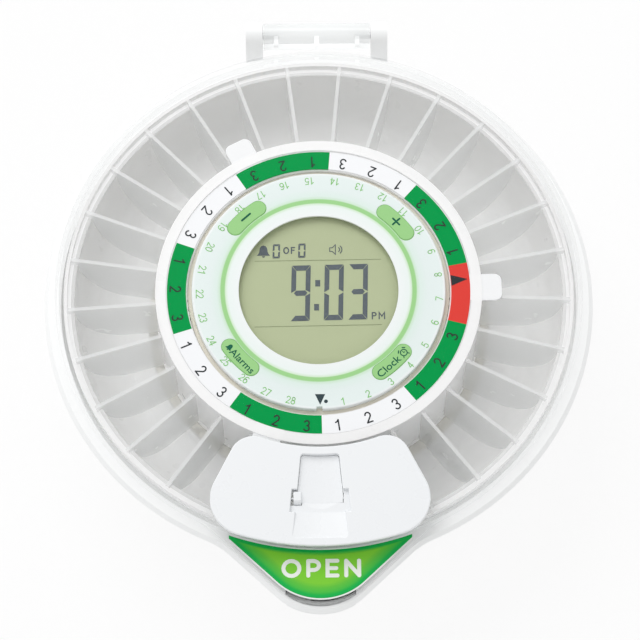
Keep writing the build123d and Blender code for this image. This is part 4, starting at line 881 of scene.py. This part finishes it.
# O, P, E and N, each with its place along the word, as strokes drawn up from the base line.
e_width, e_middle, n_width = 3.3, 2.9, 4.3
letters = {
    -9.75: [(arc(0, stem / 2, 2.65, stem / 2 + 0.05, 0, round_end), True)],
    -4.15: [([(0, 0), (0, stem)], False), (bowl, False)],
    2.25: [
        ([(e_width, stem), (0, stem), (0, 0), (e_width, 0)], False),
        ([(0, stem / 2), (e_middle, stem / 2)], False),
    ],
    8.45: [
        ([(0, 0), (0, stem)], False), ([(0, stem), (n_width, 0)], False),
        ([(n_width, 0), (n_width, stem)], False),
    ],
}
word = []
for letter_x, paths in letters.items():
    for path, closed in paths:
        points, faces = stroke(np.array(path), letter_weight, closed)
        word.append((points + [letter_x, letter_base + letter_weight / 2], faces))
flat_piece("open_label_word", word, label_z + ink_step, "lid", letter_ink)

# Lock shutter: a light grey nylon strip that closes the recess's mouth in front of the lock, bent to the
# nose. It lies a little below the rim, so the eye sees a shallow shaded trough under the lid's edge.
shutter_columns = 40
shutter_half = 11.5
shutter_nose = 21.8
shutter_nose_y = -90.6
shutter_width = 4.4
shutter_z = 45.9
shutter_x = np.linspace(-shutter_half, shutter_half, shutter_columns)
shutter_front = shutter_nose_y - np.sqrt(shutter_nose ** 2 - shutter_x ** 2)
shutter_points = np.vstack([
    np.column_stack([shutter_x, shutter_front]), np.column_stack([shutter_x, shutter_front + shutter_width]),
])
shutter_faces = [
    (i, i + 1, shutter_columns + i + 1, shutter_columns + i) for i in range(shutter_columns - 1)
]
flat_piece("lock_shutter", [(shutter_points, shutter_faces)], shutter_z, "base", lock_nylon)

# Floor, light and camera: a matt white table in a white studio with one large softbox above the lid.
# The paper and the studio look white to the eye, and give off less light than that to the pieces.
floor_mesh = bpy.data.meshes.new("floor")
floor_half = 3.0
floor_corners = np.array([(-1, -1, 0), (1, -1, 0), (1, 1, 0), (-1, 1, 0)]) * floor_half
floor_mesh.from_pydata(floor_corners, [], [(0, 1, 2, 3)])
floor = bpy.data.objects.new("floor", floor_mesh)
bpy.context.scene.collection.objects.link(floor)
floor_paper, output, place = new_material("floor_paper_matt")
floor.data.materials.append(floor_paper)
tree = floor_paper.node_tree


def seen_directly(tree):
    """1 for the camera's rays and for those mirrored or let through by a piece, 0 for the light's own."""
    path = add_node(tree, "ShaderNodeLightPath").outputs
    seen = add_node(
        tree, "ShaderNodeMath", {"operation": "MAXIMUM"}, _0=path["Is Camera Ray"], _1=path["Is Glossy Ray"],
    ).outputs[0]
    return add_node(
        tree, "ShaderNodeMath", {"operation": "MAXIMUM"}, _0=seen, _1=path["Is Transmission Ray"],
    ).outputs[0]


paper_white_share = 0.85
paper_seen = add_node(
    tree, "ShaderNodeMath", {"operation": "MULTIPLY"}, _0=seen_directly(tree), _1=paper_white_share,
).outputs[0]
rough, bump = worked(tree, place, roughness=0.9, spread=0.05, grain=0.5 * mm, depth=0.002 * mm)
paper = add_node(tree, "ShaderNodeBsdfDiffuse", Color=linear("fcfcfc"), Roughness=rough, Normal=bump)
white = add_node(tree, "ShaderNodeEmission", Color=(1, 1, 1, 1), Strength=1.0)
blend = add_node(tree, "ShaderNodeMixShader", _0=paper_seen, _1=paper.outputs[0], _2=white.outputs[0])
tree.links.new(blend.outputs[0], output.inputs["Surface"])

world = bpy.data.worlds.new("studio")
bpy.context.scene.world = world
world.use_nodes = True
tree = world.node_tree
world_strength = 0.74
strength = add_node(
    tree, "ShaderNodeMapRange", Value=seen_directly(tree), To_Min=world_strength, To_Max=1.0,
).outputs[0]
tree.nodes["Background"].inputs["Color"].default_value = (1, 1, 1, 1)
tree.links.new(strength, tree.nodes["Background"].inputs["Strength"])

lamp_data = bpy.data.lights.new("softbox", "AREA")
lamp_data.size = 1.2
lamp_data.energy = 10.5
lamp = bpy.data.objects.new("softbox", lamp_data)
lamp.location = (-0.5, 0.95, 1.2)
lamp.rotation_euler = (-lamp.location).to_track_quat("-Z", "Y").to_euler()
bpy.context.scene.collection.objects.link(lamp)

camera_data = bpy.data.cameras.new("camera")
camera = bpy.data.objects.new("camera", camera_data)
bpy.context.scene.collection.objects.link(camera)
bpy.context.scene.camera = camera
camera_elevation = radians(68.05)
camera_roll = radians(-0.45)
camera_distance = 930 * mm
camera_aim_z = 55.4 * mm
sensor_pixels = 640
focal_pixels = 2705
shift_pixels = (1.44, -30.8)
camera_data.lens = focal_pixels / sensor_pixels * camera_data.sensor_width
camera_data.shift_x = shift_pixels[0] / sensor_pixels
camera_data.shift_y = shift_pixels[1] / sensor_pixels
camera_height = camera_aim_z + camera_distance * sin(camera_elevation)
camera.location = (0, -camera_distance * cos(camera_elevation), camera_height)
tilt = Matrix.Rotation(pi / 2 - camera_elevation, 3, "X") @ Matrix.Rotation(camera_roll, 3, "Z")
camera.rotation_euler = tilt.to_euler()
bpy.context.scene.view_settings.view_transform = "Standard"
